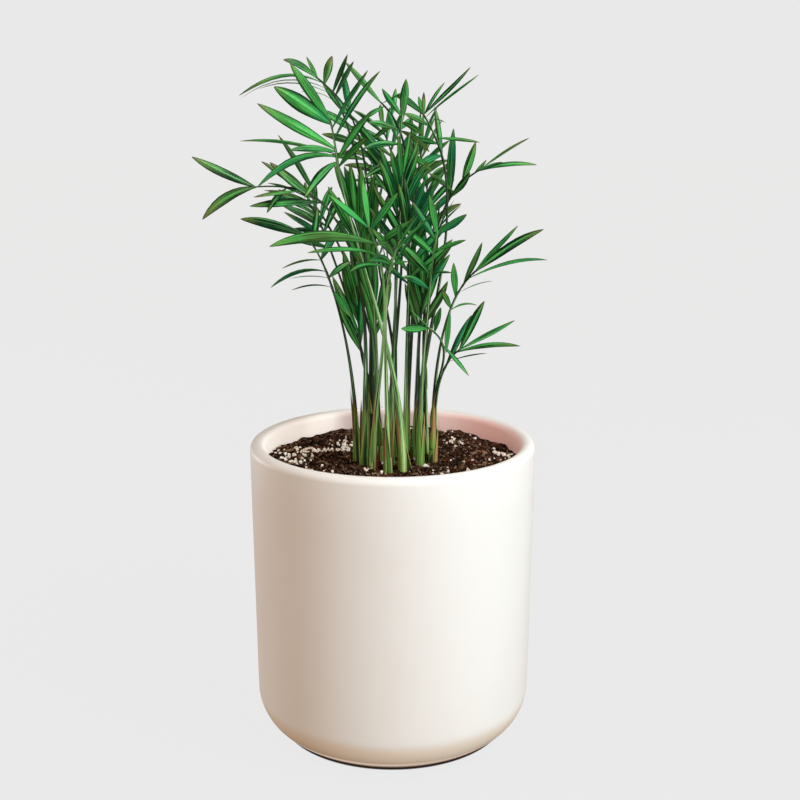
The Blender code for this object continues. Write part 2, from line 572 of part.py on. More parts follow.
def make_pot(finish):
    """The pot: a thick-walled cylinder with a round lip and a round lower corner."""
    lip = POT_WALL / 2
    inner = POT_LOW_RADIUS - POT_WALL
    profile = [(0, 0)]
    profile += arc(POT_LOW_RADIUS - POT_CORNER, POT_CORNER, POT_CORNER, -90, 0, CORNER_STEPS)
    profile += arc(POT_RADIUS - lip, POT_HEIGHT - lip, lip, 0, 180, CORNER_STEPS)
    profile += arc(inner - POT_INNER_CORNER, POT_FLOOR + POT_INNER_CORNER, POT_INNER_CORNER, 0, -90,
                   INNER_CORNER_STEPS)
    profile += [(0, POT_FLOOR)]
    return turned_object("pot", profile, POT_SIDES, finish)


def soil_height(x, y):
    """The soil's height at a place: a loose surface, a little higher round the stems."""
    lumps = noise.noise(Vector((x, y, 0)) * SOIL_LUMP_SCALE)
    mound = SOIL_MOUND * math.exp(-((x * x + y * y) / SOIL_MOUND_REACH**2))
    return SOIL_TOP - SOIL_DIP + mound + SOIL_RELIEF * lumps


def make_soil(finish):
    """The potting soil with its loose top, the grains that lie in it and a plain hole for each stem."""
    inner = POT_LOW_RADIUS - POT_WALL - SOIL_GAP
    top_inner = POT_RADIUS - POT_WALL - SOIL_LIP_GAP
    low = POT_FLOOR + SOIL_GAP
    profile = [(0, low)]
    corner = POT_INNER_CORNER
    profile += arc(inner - corner, low + corner, corner - SOIL_GAP / 2, -90, 0, INNER_CORNER_STEPS)
    share = (SOIL_TOP - POT_INNER_CORNER) / (POT_HEIGHT - POT_INNER_CORNER)
    profile += [(inner + (top_inner - inner) * share, SOIL_TOP)]
    profile += [(r, SOIL_TOP) for r in reversed(SOIL_RINGS)]
    profile += [(0, SOIL_TOP)]
    soil = turned_object("soil", profile, SOIL_SIDES, finish)
    for vertex in soil.data.vertices:
        if vertex.co.z > SOIL_TOP - SOIL_DIP:
            vertex.co.z = soil_height(vertex.co.x, vertex.co.y)
    surface = probe(([v.co for v in soil.data.vertices], [tuple(f.vertices) for f in soil.data.polygons]))[0]
    draw = random.Random(GRAIN_SEED)
    grains = []
    while len(grains) < GRAIN_COUNT:
        angle, reach = draw.uniform(0, 2 * math.pi), GRAIN_REACH * math.sqrt(draw.random())
        x, y = reach * math.cos(angle), reach * math.sin(angle)
        size = draw.uniform(*GRAIN_RADIUS)
        nearest = min(math.dist((x, y), (a * MM, b * MM)) - r * MM for a, b, r in FEET.values())
        if nearest < GRAIN_CLEARANCE + size:
            continue
        grains.append(grain(Vector((x, y, surface.ray_cast(Vector((x, y, 1)), -UP)[0].z)), size, draw))
    joined(soil, grains, "UNION")
    holes = [hole(x * MM, y * MM, r * MM) for x, y, r in FEET.values()]
    return joined(soil, holes, "DIFFERENCE")


def grain(place, size, draw):
    """A rough grain of perlite or bark, half sunk in the soil at a place."""
    shape = bmesh.new()
    bmesh.ops.create_icosphere(shape, subdivisions=1, radius=size)
    turn = Matrix.Rotation(draw.uniform(0, 6), 3, "Z") @ Matrix.Rotation(draw.uniform(0, 6), 3, "X")
    stretch = Matrix.Diagonal([draw.uniform(*limits) for limits in GRAIN_STRETCH])
    for vertex in shape.verts:
        vertex.co = turn @ stretch @ vertex.co + place + UP * (size * GRAIN_RISE)
    mesh = bpy.data.meshes.new("grain")
    shape.to_mesh(mesh)
    shape.free()
    made = bpy.data.objects.new("grain", mesh)
    bpy.context.scene.collection.objects.link(made)
    return made


def hole(x, y, radius):
    """The cutter for one stem's hole."""
    low, high = SOIL_TOP - STEM_SINK - HOLE_CLEARANCE, SOIL_TOP + HOLE_RISE
    wide = radius + HOLE_CLEARANCE
    points, faces = tube_mesh([Vector((x, y, low)), Vector((x, y, high))], [wide, wide], HOLE_SIDES)
    return mesh_object("hole", points, faces)


def sheath(item, draw):
    """The pointed scale that wraps the foot of a stem, as a leaflet that hugs it."""
    stalk = item["stalk"]
    root = stalk[1] + UP * draw.uniform(*SHEATH_ROOT)
    turn = draw.uniform(0, 2 * math.pi)
    out = Vector((math.cos(turn), math.sin(turn), 0))
    way = (along(stalk, SHEATH_FOLLOWS)[1] + out * SHEATH_LEAN).normalized()
    upper = (-out - way * way.dot(-out)).normalized()
    return dict(root=root, way=way, upper=upper, length=SHEATH_LENGTH * draw.uniform(*SHEATH_SPREAD),
                width=SHEATH_WIDTH, droop=0.0)


def make_shoot(name, items, finish):
    """One shoot: the stem and stalks of its fronds, with every leaflet grown together with them."""
    draw = random.Random(name)
    bodies = [mesh_object("wood", *tube_mesh(item["path"], item["radii"])) for item in items]
    bodies += [mesh_object("leaf", *blade_mesh(leaf)) for item in items for leaf in item["leaves"]]
    bodies.append(mesh_object("sheath", *blade_mesh(sheath(items[0], draw))))
    shoot = joined(bodies[0], bodies[1:], "UNION")
    shoot.name = name
    shoot.data.name = name
    shoot.data.materials.clear()
    shoot.data.materials.append(finish)
    return shoot


def main():
    for old in list(bpy.data.objects):
        bpy.data.objects.remove(old)
    glaze = material("glaze", *GLAZE)
    earth = material("earth", *EARTH)
    green = material("leaf_green", *LEAF_GREEN)
    laid = lay_out()
    make_pot(glaze)
    make_soil(earth)
    for name in FEET:
        make_shoot(name, [item for item in laid if item["frond"]["shoot"] == name], green)


if __name__ == "__main__":
    main()
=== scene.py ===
import math
import random

import bmesh
import bpy
from mathutils import Matrix, Vector, noise
from mathutils.bvhtree import BVHTree


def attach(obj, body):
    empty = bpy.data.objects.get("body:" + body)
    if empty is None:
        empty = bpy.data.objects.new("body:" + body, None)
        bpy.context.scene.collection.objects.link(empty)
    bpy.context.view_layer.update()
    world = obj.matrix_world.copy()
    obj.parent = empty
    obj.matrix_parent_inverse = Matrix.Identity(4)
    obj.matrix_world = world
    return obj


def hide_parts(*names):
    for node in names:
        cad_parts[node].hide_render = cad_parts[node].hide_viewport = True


# A potted parlor palm: fine leaflets, stems, sheaths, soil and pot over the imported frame.
# Metres, +Z up, the pot's flat underside at the origin, -Y is the front.

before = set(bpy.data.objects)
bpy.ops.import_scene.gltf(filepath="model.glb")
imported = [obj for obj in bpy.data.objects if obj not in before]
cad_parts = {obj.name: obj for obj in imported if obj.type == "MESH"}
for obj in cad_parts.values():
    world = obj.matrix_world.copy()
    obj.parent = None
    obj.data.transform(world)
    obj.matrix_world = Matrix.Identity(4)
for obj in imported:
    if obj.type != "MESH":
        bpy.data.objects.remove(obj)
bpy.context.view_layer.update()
mm = 0.001
up = Vector((0, 0, 1))

# layout and search
# These are the solids' own numbers and search, so each fine leaflet lies where its solid is.

soilLevel = 0.150

# x and y of each shoot's foot and its radius there, in millimetres
feet = {
    "shoot_01": (-18.5, -9.5, 1.9),
    "shoot_02": (-14.5, -17.0, 2.4),
    "shoot_03": (-9.5, -25.0, 2.2),
    "shoot_04": (-2.0, -29.5, 2.4),
    "shoot_05": (5.5, -26.5, 2.5),
    "shoot_06": (-1.0, -19.5, 2.3),
    "shoot_07": (6.5, -15.0, 1.7),
    "shoot_08": (14.0, -15.5, 2.4),
    "shoot_09": (21.0, -9.0, 2.3),
    "shoot_10": (-7.0, -12.0, 2.3),
    "shoot_11": (-11.5, -4.0, 2.3),
    "shoot_12": (12.0, -5.5, 2.4),
    "shoot_13": (17.5, 1.5, 2.2),
    "shoot_14": (-9.5, 6.0, 2.3),
    "shoot_15": (7.5, 5.5, 1.8),
    "shoot_16": (-1.5, 14.0, 2.3),
    "shoot_17": (12.5, 14.5, 2.1),
    "shoot_18": (1.5, -6.5, 1.8),
}

# One row for each frond, in millimetres. Its leaflets grow between neck and tip. blades lists
# leaflets one by one: how far along, tip to the right, back and up, width, droop and level.
# rule gives pairs, longest leaflet, width, first angle, last angle and droop.
fronds = [
    dict(name="top_left", shoot="shoot_11", neck=(-25, 6, 328), tip=(-38, 10, 345),
         face=(0.1, -0.9, 0.5), blades=[
             (1.00, -17, -4, 9, 3.8, 0.30, 0.1), (1.00, -6, 6, 11, 2.3, 0.05, 0.6),
             (0.80, 4, 4, 14, 4.2, 0.05, 0.0), (0.50, 8, -3, 19, 2.6, 0.05, 0.1),
             (0.40, 10, -8, 17, 2.6, 0.08, 0.1), (0.85, -40, -8, -4, 3.2, 0.60, 0.5),
             (0.60, -46, 8, -4, 2.3, 0.55, 0.8), (0.45, -38, 2, 3, 2.1, 0.42, 0.8),
             (0.20, -18, -14, 6, 2.1, 0.35, 0.8)]),
    dict(name="left_high", shoot="shoot_05", neck=(-25, -34, 300), tip=(-29, -38, 325),
         face=(0, -1, 0.1), blades=[
             (1.00, -18, -5, 26, 4.8, 0.02, 0.0), (0.95, -26, -10, 18, 7.4, 0.00, 0.0),
             (0.45, -35, -14, 21, 5.2, 0.05, 0.1), (0.35, -46, 2, 6, 3.0, 0.18, 0.6),
             (0.40, -21, -12, 1, 3.4, 0.20, 0.2), (0.30, -38, -6, -13, 3.6, 0.62, 0.3),
             (0.20, -15, -14, -16, 4.3, 0.50, 0.2), (0.85, 17, 6, 27, 2.6, 0.18, 0.4),
             (0.65, 22, -4, 31, 2.8, 0.20, 0.4), (0.25, 17, -12, 22, 3.7, 0.10, 0.1),
             (0.10, 14, -16, 14, 3.3, 0.20, 0.2)]),
    dict(name="left_mid", shoot="shoot_02", neck=(-33, -10, 282), tip=(-69, -14, 292),
         face=(0.1, -0.8, 0.6), blades=[
             (1.00, -30, -6, 15, 5.4, 0.00, 0.0), (1.00, -25, -12, -15, 5.8, 0.52, 0.2),
             (0.30, -23, 2, 16, 3.5, 0.10, 0.2), (0.20, -21, -6, 18, 5.4, 0.05, 0.0),
             (0.40, -22, -14, -2, 3.0, 0.15, 0.4), (0.10, -34, -10, -1, 5.4, 0.20, 0.2),
             (0.60, -10, -9, -14, 3.1, 0.35, 0.1), (0.10, -21, 8, 33, 3.1, 0.10, 0.2)]),
    dict(name="left_low", shoot="shoot_01", neck=(-29, -20, 240), tip=(-43, -27, 271),
         face=(0.3, -0.9, 0.4), blades=[
             (0.10, -20, -4, -1, 2.3, 0.40, 0.8), (0.25, -20, 4, -1, 2.1, 0.25, 0.9),
             (0.35, -27, -8, -7, 3.0, 0.55, 0.6), (0.55, -20, 6, -5, 3.1, 0.35, 0.7),
             (1.00, -31, -4, 8, 5.2, 0.08, 0.0), (0.25, 11, 8, 7, 3.5, 0.20, 0.2),
             (0.05, 9, -3, -13, 3.8, 0.05, 0.1),
             (0.55, 8, 10, 13, 3.8, 0.10, 0.1), (0.80, 2, 8, 18, 3.7, 0.05, 0.1)]),
    dict(name="front_bright", shoot="shoot_03", neck=(-4, -38, 248), tip=(-11, -48, 276),
         face=(0.2, -0.8, 0.6), blades=[
             (0.70, -50, -4, -1, 6.6, 0.35, 0.1), (0.50, -33, -12, 2, 3.3, 0.30, 0.4),
             (1.00, -18, -10, 16, 4.0, 0.10, 0.1), (1.00, -3, 2, 22, 4.0, 0.00, 0.0),
             (0.95, 13, -6, 18, 3.8, 0.10, 0.0), (0.65, 16, -12, 13, 3.8, 0.15, 0.1),
             (0.30, -14, -16, -1, 3.5, 0.30, 0.3), (0.25, 13, -16, 5, 3.3, 0.20, 0.3)]),
    dict(name="right_mid", shoot="shoot_09", neck=(29, -17, 231), tip=(42, -21, 252),
         face=(-0.1, -1, 0.3), blades=[
             (0.05, -5, -6, 10, 3.0, 0.00, 0.0), (0.00, 14, 4, 2, 2.3, 0.50, 0.8),
             (0.00, -2, -5, -21, 2.8, 0.00, 0.0),
             (0.30, -1, 4, 17, 3.4, 0.00, 0.0), (0.40, 17, -6, 7, 2.0, 0.25, 0.9),
             (0.60, 9, -4, 22, 3.0, 0.05, 0.0), (0.80, 38, -8, 10, 2.8, 0.28, 0.6),
             (0.95, 22, 6, 23, 2.6, 0.12, 0.1), (1.00, 33, -3, 21, 4.2, 0.14, 0.1)]),
    dict(name="right_low", shoot="shoot_09", fork=20, neck=(26, -20, 201), tip=(34, -26, 213),
         face=(-0.1, -1, 0.3), blades=[
             (0.15, 0, 4, 29, 3.1, 0.02, 0.0), (0.35, 19, -8, 6, 2.0, 0.20, 0.8),
             (0.85, 31, -10, 5, 2.8, 0.25, 0.3), (1.00, 28, 6, 14, 2.7, 0.06, 0.2),
             (1.00, 12, -2, 25, 4.2, 0.02, 0.0)]),
    dict(name="right_front", shoot="shoot_08", neck=(18, -26, 238), tip=(22, -34, 272),
         face=(-0.1, -1, 0.3), blades=[
             (1.00, 14, -4, 10, 3.8, 0.05, 0.1), (0.75, 15, -8, 6, 3.1, 0.05, 0.4),
             (0.40, 10, -8, 1, 2.4, 0.20, 0.6), (1.00, -4, -2, 19, 3.8, 0.00, 0.0),
             (0.90, -12, -6, 18, 4.0, 0.05, 0.0), (0.70, -14, -10, 13, 4.3, 0.08, 0.0),
             (0.35, -15, -12, 17, 4.7, 0.10, 0.0), (0.15, -13, -14, 8, 3.7, 0.20, 0.2),
             (0.20, 10, 6, 15, 3.3, 0.05, 0.1)]),
    dict(name="right_high", shoot="shoot_13", neck=(27, 12, 280), tip=(45, 16, 299),
         face=(-0.2, -1, 0.4), blades=[
             (1.00, 26, -4, 17, 2.6, 0.14, 0.6), (1.00, 31, 4, 3, 3.0, 0.26, 0.3),
             (1.00, 12, -10, 5, 2.4, 0.15, 0.3), (0.90, 7, 8, 7, 2.0, 0.00, 0.3),
             (0.35, -13, -8, 10, 3.0, 0.20, 0.2), (0.15, 0, -4, 37, 4.6, 0.00, 0.0),
             (0.60, 7, 4, 21, 4.2, 0.00, 0.0), (0.25, 9, -12, 13, 4.0, 0.00, 0.0)]),
    dict(name="top_right", shoot="shoot_12", neck=(27, 4, 297), tip=(15, 0, 328),
         face=(0.2, -1, 0.2), blades=[
             (1.00, 23, -5, 23, 2.3, 0.02, 0.3), (0.95, 27, 6, 21, 2.1, 0.15, 0.7),
             (1.00, 11, 12, 16, 2.0, 0.10, 0.7), (1.00, 0, -2, 11, 2.0, 0.00, 0.2),
             (1.00, -2, 6, 10, 2.6, 0.00, 0.0), (1.00, -14, -8, 9, 3.5, 0.25, 0.1),
             (0.90, 9, -10, -1, 2.0, 0.40, 0.8), (0.60, 22, -6, -2, 2.3, 0.12, 0.4),
             (0.25, -4, 3, 26, 3.0, 0.05, 0.1), (0.80, -14, -10, 4, 3.5, 0.20, 0.2),
             (0.50, -15, -12, 2, 3.8, 0.20, 0.1), (0.30, -12, -14, -4, 3.8, 0.25, 0.1)]),
    dict(name="top_centre", shoot="shoot_18", neck=(3, -6, 299), tip=(5, -10, 327),
         face=(0.1, -1, 0.1), blades=[
             (1.00, 2, 0, 18, 4.3, 0.00, 0.0), (1.00, -10, -4, 14, 3.1, 0.05, 0.0),
             (0.90, 11, -8, -6, 3.0, 0.30, 0.1), (0.75, -16, -6, 4, 3.1, 0.20, 0.1),
             (0.75, 14, -10, -10, 3.0, 0.30, 0.1), (0.50, -18, -10, -2, 3.3, 0.25, 0.1),
             (0.40, 16, -6, -10, 3.1, 0.20, 0.1), (0.20, -17, -12, -8, 3.3, 0.25, 0.1),
             (0.10, 13, -14, -12, 3.1, 0.20, 0.1)]),
    dict(name="top_back", shoot="shoot_15", neck=(5, 24, 315), tip=(-6, 18, 333),
         face=(0.2, -0.7, 0.7), blades=[
             (1.00, -19, 2, 21, 4.0, 0.02, 0.0), (1.00, 12, -4, 6, 2.6, 0.10, 0.4),
             (0.90, -11, -6, -7, 3.0, 0.30, 0.2), (0.60, 2, 8, 14, 3.0, 0.00, 0.1),
             (0.75, 5, -8, -15, 3.0, 0.20, 0.2), (0.40, -13, -2, -9, 3.3, 0.20, 0.2),
             (0.20, 8, 8, 7, 3.3, 0.10, 0.2)]),
    dict(name="front_small", shoot="shoot_09", fork=30, neck=(25, -30, 216), tip=(17, -38, 226),
         face=(0.1, -0.8, 0.6), blades=[
             (0.00, 13, -4, -15, 2.4, 0.10, 0.2), (1.00, -13, -2, 0, 4.6, 0.10, 0.0),
             (1.00, -12, 4, 4, 2.4, 0.10, 0.6), (0.80, -13, -8, 11, 2.4, 0.10, 0.6),
             (0.65, 3, -4, 13, 3.0, 0.00, 0.1)]),
    dict(name="top_mid_left", shoot="shoot_14", neck=(-14, 16, 300), tip=(-22, 20, 328),
         face=(0.2, -1, 0.3), blades=[
             (1.00, 18, -8, -21, 2.8, 0.10, 0.2), (0.80, 19, -9, -22, 2.8, 0.08, 0.2),
             (0.60, 18, -8, -22, 2.8, 0.08, 0.2), (0.40, 17, -7, -21, 2.8, 0.06, 0.2),
             (0.15, 16, -8, -20, 2.6, 0.06, 0.2), (1.00, -4, 4, 22, 3.8, 0.00, 0.1),
             (0.90, -15, 2, 20, 4.2, 0.05, 0.1), (0.65, -20, -4, 12, 4.4, 0.12, 0.1),
             (0.40, -20, -2, 6, 4.4, 0.20, 0.2), (0.15, -18, 4, 2, 4.0, 0.25, 0.2)]),
    dict(name="top_mid_right", shoot="shoot_15", neck=(12, 16, 284), tip=(16, 20, 314),
         face=(0.8, -0.5, 0.3), rule=(6, 32, 3.4, 56, 16, 0.15)),
    dict(name="centre_high", shoot="shoot_06", neck=(3, -14, 262), tip=(5, -18, 298),
         face=(0.0, -1.0, 0.2), rule=(6, 33, 3.8, 34, 8, 0.06)),
    dict(name="centre_dark", shoot="shoot_07", neck=(8, -22, 244), tip=(9, -28, 278),
         face=(0.1, -1.0, 0.1), rule=(6, 34, 4.4, 46, 10, 0.05)),
    dict(name="centre_left", shoot="shoot_10", neck=(-13, -5, 247), tip=(-19, -9, 281),
         face=(0.0, -1.0, 0.1), rule=(6, 38, 4.8, 24, 6, 0.00)),
    dict(name="low_left", shoot="shoot_11", fork=26, neck=(-16, -4, 206), tip=(-18, -6, 242),
         face=(0.4, -0.9, 0.1), rule=(5, 35, 4.6, 20, 8, 0.00)),
    dict(name="low_centre", shoot="shoot_10", fork=26, neck=(-8, -16, 214), tip=(-10, -20, 246),
         face=(-0.5, -0.9, 0.1), rule=(5, 36, 4.6, 24, 8, 0.00)),
    dict(name="back_left", shoot="shoot_14", fork=50, neck=(-30, 26, 262), tip=(-50, 44, 286),
         face=(0.4, -0.4, 0.9), rule=(6, 34, 3.9, 60, 20, 0.25)),
    dict(name="back_far", shoot="shoot_16", neck=(4, 40, 284), tip=(-6, 56, 320),
         face=(0.1, -0.8, 0.6), rule=(6, 36, 4.1, 60, 20, 0.25)),
    dict(name="back_right", shoot="shoot_17", neck=(17, 36, 262), tip=(19, 54, 290),
         face=(-0.2, -0.6, 0.8), rule=(6, 31, 3.9, 46, 14, 0.22)),
    dict(name="front_lean", shoot="shoot_04", neck=(-2, -52, 246), tip=(4, -72, 272),
         face=(0.0, -0.5, 0.9), rule=(6, 33, 3.9, 56, 16, 0.20)),
    dict(name="left_inner", shoot="shoot_11", fork=45, neck=(-32, 10, 258), tip=(-44, 20, 282),
         face=(0.3, -0.6, 0.8), rule=(5, 30, 3.7, 56, 20, 0.20)),
    dict(name="mid_back", shoot="shoot_16", fork=46, neck=(-8, 34, 250), tip=(-12, 44, 284),
         face=(0.7, 0.5, 0.6), rule=(6, 34, 3.9, 52, 16, 0.12)),
    dict(name="right_inner", shoot="shoot_13", fork=44, neck=(20, 18, 236), tip=(23, 24, 268),
         face=(0.9, -0.2, 0.4), rule=(6, 31, 3.9, 30, 10, 0.08)),
    dict(name="low_right", shoot="shoot_12", fork=24, neck=(14, -2, 214), tip=(17, -2, 248),
         face=(-0.2, -1.0, 0.2), rule=(5, 34, 4.6, 24, 8, 0.02)),
]

growth = dict(
    stemSides=5, stalkSteps=6, stalkTaper=1.9, rachisSteps=3, stemSink=0.016, stemStraight=0.003,
    forkRadius=0.0012, neckRadius=0.0008, tipRadius=0.0005, stalkPull=0.36, neckPull=0.30, forkRise=0.5,
    rachisPull=0.36, tipFall=0.35, sheathLength=0.027, sheathLean=0.07, firstLeaf=0.4, lastRoot=0.96,
    leastSize=0.72, sizeRun=0.9, sizeStart=0.12, splaySpread=5, lift=(4, 16), lengthSpread=(0.92, 1.06),
    widthSpread=(0.9, 1.1), droopSpread=(0.6, 1.4), rootWidth=0.06, widest=0.47, rootBluntness=0.75,
    tipBluntness=1.1, ribThickness=0.0010, fold=0.22, sagReach=1.5, shortReach=0.032, longReach=0.046,
    shortStations=(0.46,), midStations=(0.30, 0.66), longStations=(0.22, 0.48, 0.76),
    clearance=0.0007, ownRoot=0.16, turns=(0, 8, -8, 15, -15, 23, -23, 32, -32, 42, -42),
    shortened=(1.0, 0.8, 0.6), leafSeed=100)


def bezier(a, b, c, d, steps):
    points = []
    for i in range(steps + 1):
        t = i / steps
        s = 1 - t
        points.append(a * s**3 + b * (3 * s * s * t) + c * (3 * s * t * t) + d * t**3)
    return points


def pointAlong(points, t):
    place = min(max(t, 0.0), 1.0) * (len(points) - 1)
    i = min(int(place), len(points) - 2)
    step = points[i + 1] - points[i]
    return points[i] + step * (place - i), step.normalized()


def stalkAndRachis(frond, trunks):
    # the coarse rows of points that the search uses, and the corners of both curves for the fine ones
    g = growth
    neck, tip = Vector(frond["neck"]) * mm, Vector(frond["tip"]) * mm
    x, y, _ = feet[frond["shoot"]]
    foot = Vector((x * mm, y * mm, soilLevel))
    if "fork" in frond:
        trunk = trunks[frond["shoot"]]
        start = min(trunk, key=lambda p: abs(p.z - soilLevel - frond["fork"] * mm))
        first = [start]
        leaving = (neck - start).normalized() + up * g["forkRise"]
    else:
        start = foot + up * g["stemStraight"]
        first = [foot - up * g["stemSink"], start]
        leaving = up.copy()
    reach = (neck - start).length
    rachisWay = (tip - neck).normalized()
    atNeck = ((neck - start).normalized() + rachisWay).normalized()
    stalkCorners = (start, start + leaving.normalized() * reach * g["stalkPull"],
                    neck - atNeck * reach * g["neckPull"], neck)
    length = (tip - neck).length
    outward = Vector((rachisWay.x, rachisWay.y, rachisWay.z - g["tipFall"])).normalized()
    rachisCorners = (neck, neck + atNeck * length * g["rachisPull"],
                     tip - outward * length * g["rachisPull"], tip)
    stalk = first + bezier(*stalkCorners, g["stalkSteps"])[1:]
    return stalk, bezier(*rachisCorners, g["rachisSteps"]), stalkCorners, rachisCorners


def squareTo(direction, way):
    return (direction - way * direction.dot(way)).normalized()


def ruledLeaves(frond, rachis, face, draw):
    g = growth
    pairs, longest, width, firstAngle, lastAngle, droop = frond["rule"]
    leaves = []
    for i in range(2 * pairs):
        t = (i + g["firstLeaf"]) / (2 * pairs - 1 + g["firstLeaf"])
        root, rachisWay = pointAlong(rachis, t * g["lastRoot"])
        normal = squareTo(face, rachisWay)
        swell = math.sin(math.pi * min(t * g["sizeRun"] + g["sizeStart"], 1.0))
        size = g["leastSize"] + (1 - g["leastSize"]) * swell
        angle = firstAngle + (lastAngle - firstAngle) * t
        splay = math.radians(angle + draw.uniform(-g["splaySpread"], g["splaySpread"]))
        lift = math.radians(draw.uniform(*g["lift"]))
        side = rachisWay.cross(normal) * (1 if i % 2 else -1)
        sideways = side * math.cos(lift) + normal * math.sin(lift)
        way = (rachisWay * math.cos(splay) + sideways * math.sin(splay)).normalized()
        long = longest * size * draw.uniform(*g["lengthSpread"]) * mm
        wide = width * size * draw.uniform(*g["widthSpread"]) * mm
        leaves.append(dict(root=root, way=way, upper=squareTo(normal, way), normal=normal,
                           length=long, width=wide, droop=droop * draw.uniform(*g["droopSpread"])))
    return leaves


def listedLeaves(frond, rachis, face, _):
    leaves = []
    for t, right, back, rise, width, droop, level in frond["blades"]:
        root, rachisWay = pointAlong(rachis, t * growth["lastRoot"])
        reach = Vector((right, back, rise)) * mm
        bend, spare = droop * reach.z, 1 - droop * droop
        length = (bend + math.sqrt(bend * bend + spare * reach.length_squared)) / spare
        way = (reach / length + up * droop).normalized()
        normal = squareTo(face, rachisWay)
        upper = squareTo(face * (1 - level) + up * level, way)
        leaves.append(dict(root=root, way=way, upper=upper, normal=normal, length=length, width=width * mm,
                           droop=droop))
    return leaves


def turnedLeaf(leaf, swing, lift, share):
    turn = Matrix.Rotation(math.radians(swing), 3, leaf["normal"])
    turn = Matrix.Rotation(math.radians(lift), 3, leaf["way"].cross(leaf["normal"]).normalized()) @ turn
    return dict(leaf, way=turn @ leaf["way"], upper=turn @ leaf["upper"], length=leaf["length"] * share,
                width=leaf["width"] * (0.5 + 0.5 * share))


def midrib(leaf, t):
    sag = up * leaf["droop"]
    place = leaf["root"] + (leaf["way"] * t - sag * t * t) * leaf["length"]
    return place, (leaf["way"] - sag * (2 * t)).normalized()


def bladeOutline(t):
    g = growth
    swell = math.sin(math.pi * min(1.0, g["rootWidth"] + (1 - g["rootWidth"]) * t))
    return 0.5 * swell ** g["rootBluntness" if t < g["widest"] else "tipBluntness"] if t < 1 else 0.0


def innerStations(leaf):
    reach = leaf["length"] * (1 + growth["sagReach"] * abs(leaf["droop"]))
    if reach < growth["shortReach"]:
        return growth["shortStations"]
    return growth["midStations" if reach < growth["longReach"] else "longStations"]


def roughBlade(leaf, start=0.0, extra=0.0):
    # the leaflet as its solid has it, for the search alone
    stations = [start] + [t for t in innerStations(leaf) if t > start]
    points = []
    for t in stations:
        place, way = midrib(leaf, t)
        side = way.cross(leaf["upper"]).normalized()
        upper = side.cross(way).normalized()
        half = leaf["width"] * bladeOutline(t) + extra
        rib = growth["ribThickness"] + 2 * extra
        fold = growth["fold"]
        points += [place + side * half - upper * (half * fold), place + upper * extra,
                   place - side * half - upper * (half * fold), place + upper * (extra - rib)]
    points.append(midrib(leaf, 1.0)[0])
    last = len(points) - 1
    faces = [(0, 1, 3), (1, 2, 3)]
    for i in range(len(stations) - 1):
        a, b = 4 * i, 4 * (i + 1)
        for j in range(4):
            k = (j + 1) % 4
            if j in (0, 3):
                faces += [(a + j, b + j, a + k), (a + k, b + j, b + k)]
            else:
                faces += [(a + j, b + j, b + k), (a + j, b + k, a + k)]
    end = 4 * (len(stations) - 1)
    faces += [(end + j, last, end + (j + 1) % 4) for j in range(4)]
    return points, faces


def roughTube(points, radii):
    sides = growth["stemSides"]
    ringPoints, faces = [], []
    side = Vector((1, 0, 0))
    for i, (point, radius) in enumerate(zip(points, radii)):
        way = (points[min(i + 1, len(points) - 1)] - points[max(i - 1, 0)]).normalized()
        side = (side - way * side.dot(way)).normalized()
        other = way.cross(side)
        for j in range(sides):
            angle = 2 * math.pi * j / sides
            ringPoints.append(point + side * (math.cos(angle) * radius) + other * (math.sin(angle) * radius))
    for i in range(len(points) - 1):
        for j in range(sides):
            a, b = i * sides + j, i * sides + (j + 1) % sides
            faces += [(a, b, a + sides), (b, b + sides, a + sides)]
    top = (len(points) - 1) * sides
    faces += [(0, j + 1, j) for j in range(1, sides - 1)]
    faces += [(top, top + j, top + j + 1) for j in range(1, sides - 1)]
    return ringPoints, faces


def stalkRadius(frond, t):
    low = growth["forkRadius"] if "fork" in frond else feet[frond["shoot"]][2] * mm
    return growth["neckRadius"] + (low - growth["neckRadius"]) * (1 - t) ** growth["stalkTaper"]


def rachisRadius(t):
    return growth["neckRadius"] + (growth["tipRadius"] - growth["neckRadius"]) * t


def probe(mesh):
    points, faces = mesh
    box = [tuple(f(p[i] for p in points) for i in range(3)) for f in (min, max)]
    return BVHTree.FromPolygons(points, faces), box


def crosses(tried, others):
    def near(box, other):
        return all(box[0][i] <= other[1][i] and other[0][i] <= box[1][i] for i in range(3))
    return any(near(tried[1], other[1]) and tried[0].overlap(other[0]) for other in others)


def clearLeaf(leaf, item, others, blades):
    # the leaflet as drawn, or turned or shortened as little as clears everything before it
    turns = growth["turns"]
    tries = sorted((abs(swing) + abs(lift), swing, lift) for swing in turns for lift in turns)
    for share in growth["shortened"]:
        for _, swing, lift in tries:
            tried = turnedLeaf(leaf, swing, lift, share)
            whole = probe(roughBlade(tried, 0.0, growth["clearance"]))
            if crosses(whole, others) or crosses(whole, [b for owner, b, _ in blades if owner is not item]):
                continue
            beyond = probe(roughBlade(tried, growth["ownRoot"], growth["clearance"]))
            if not crosses(beyond, [b for owner, _, b in blades if owner is item]):
                return tried
    return None


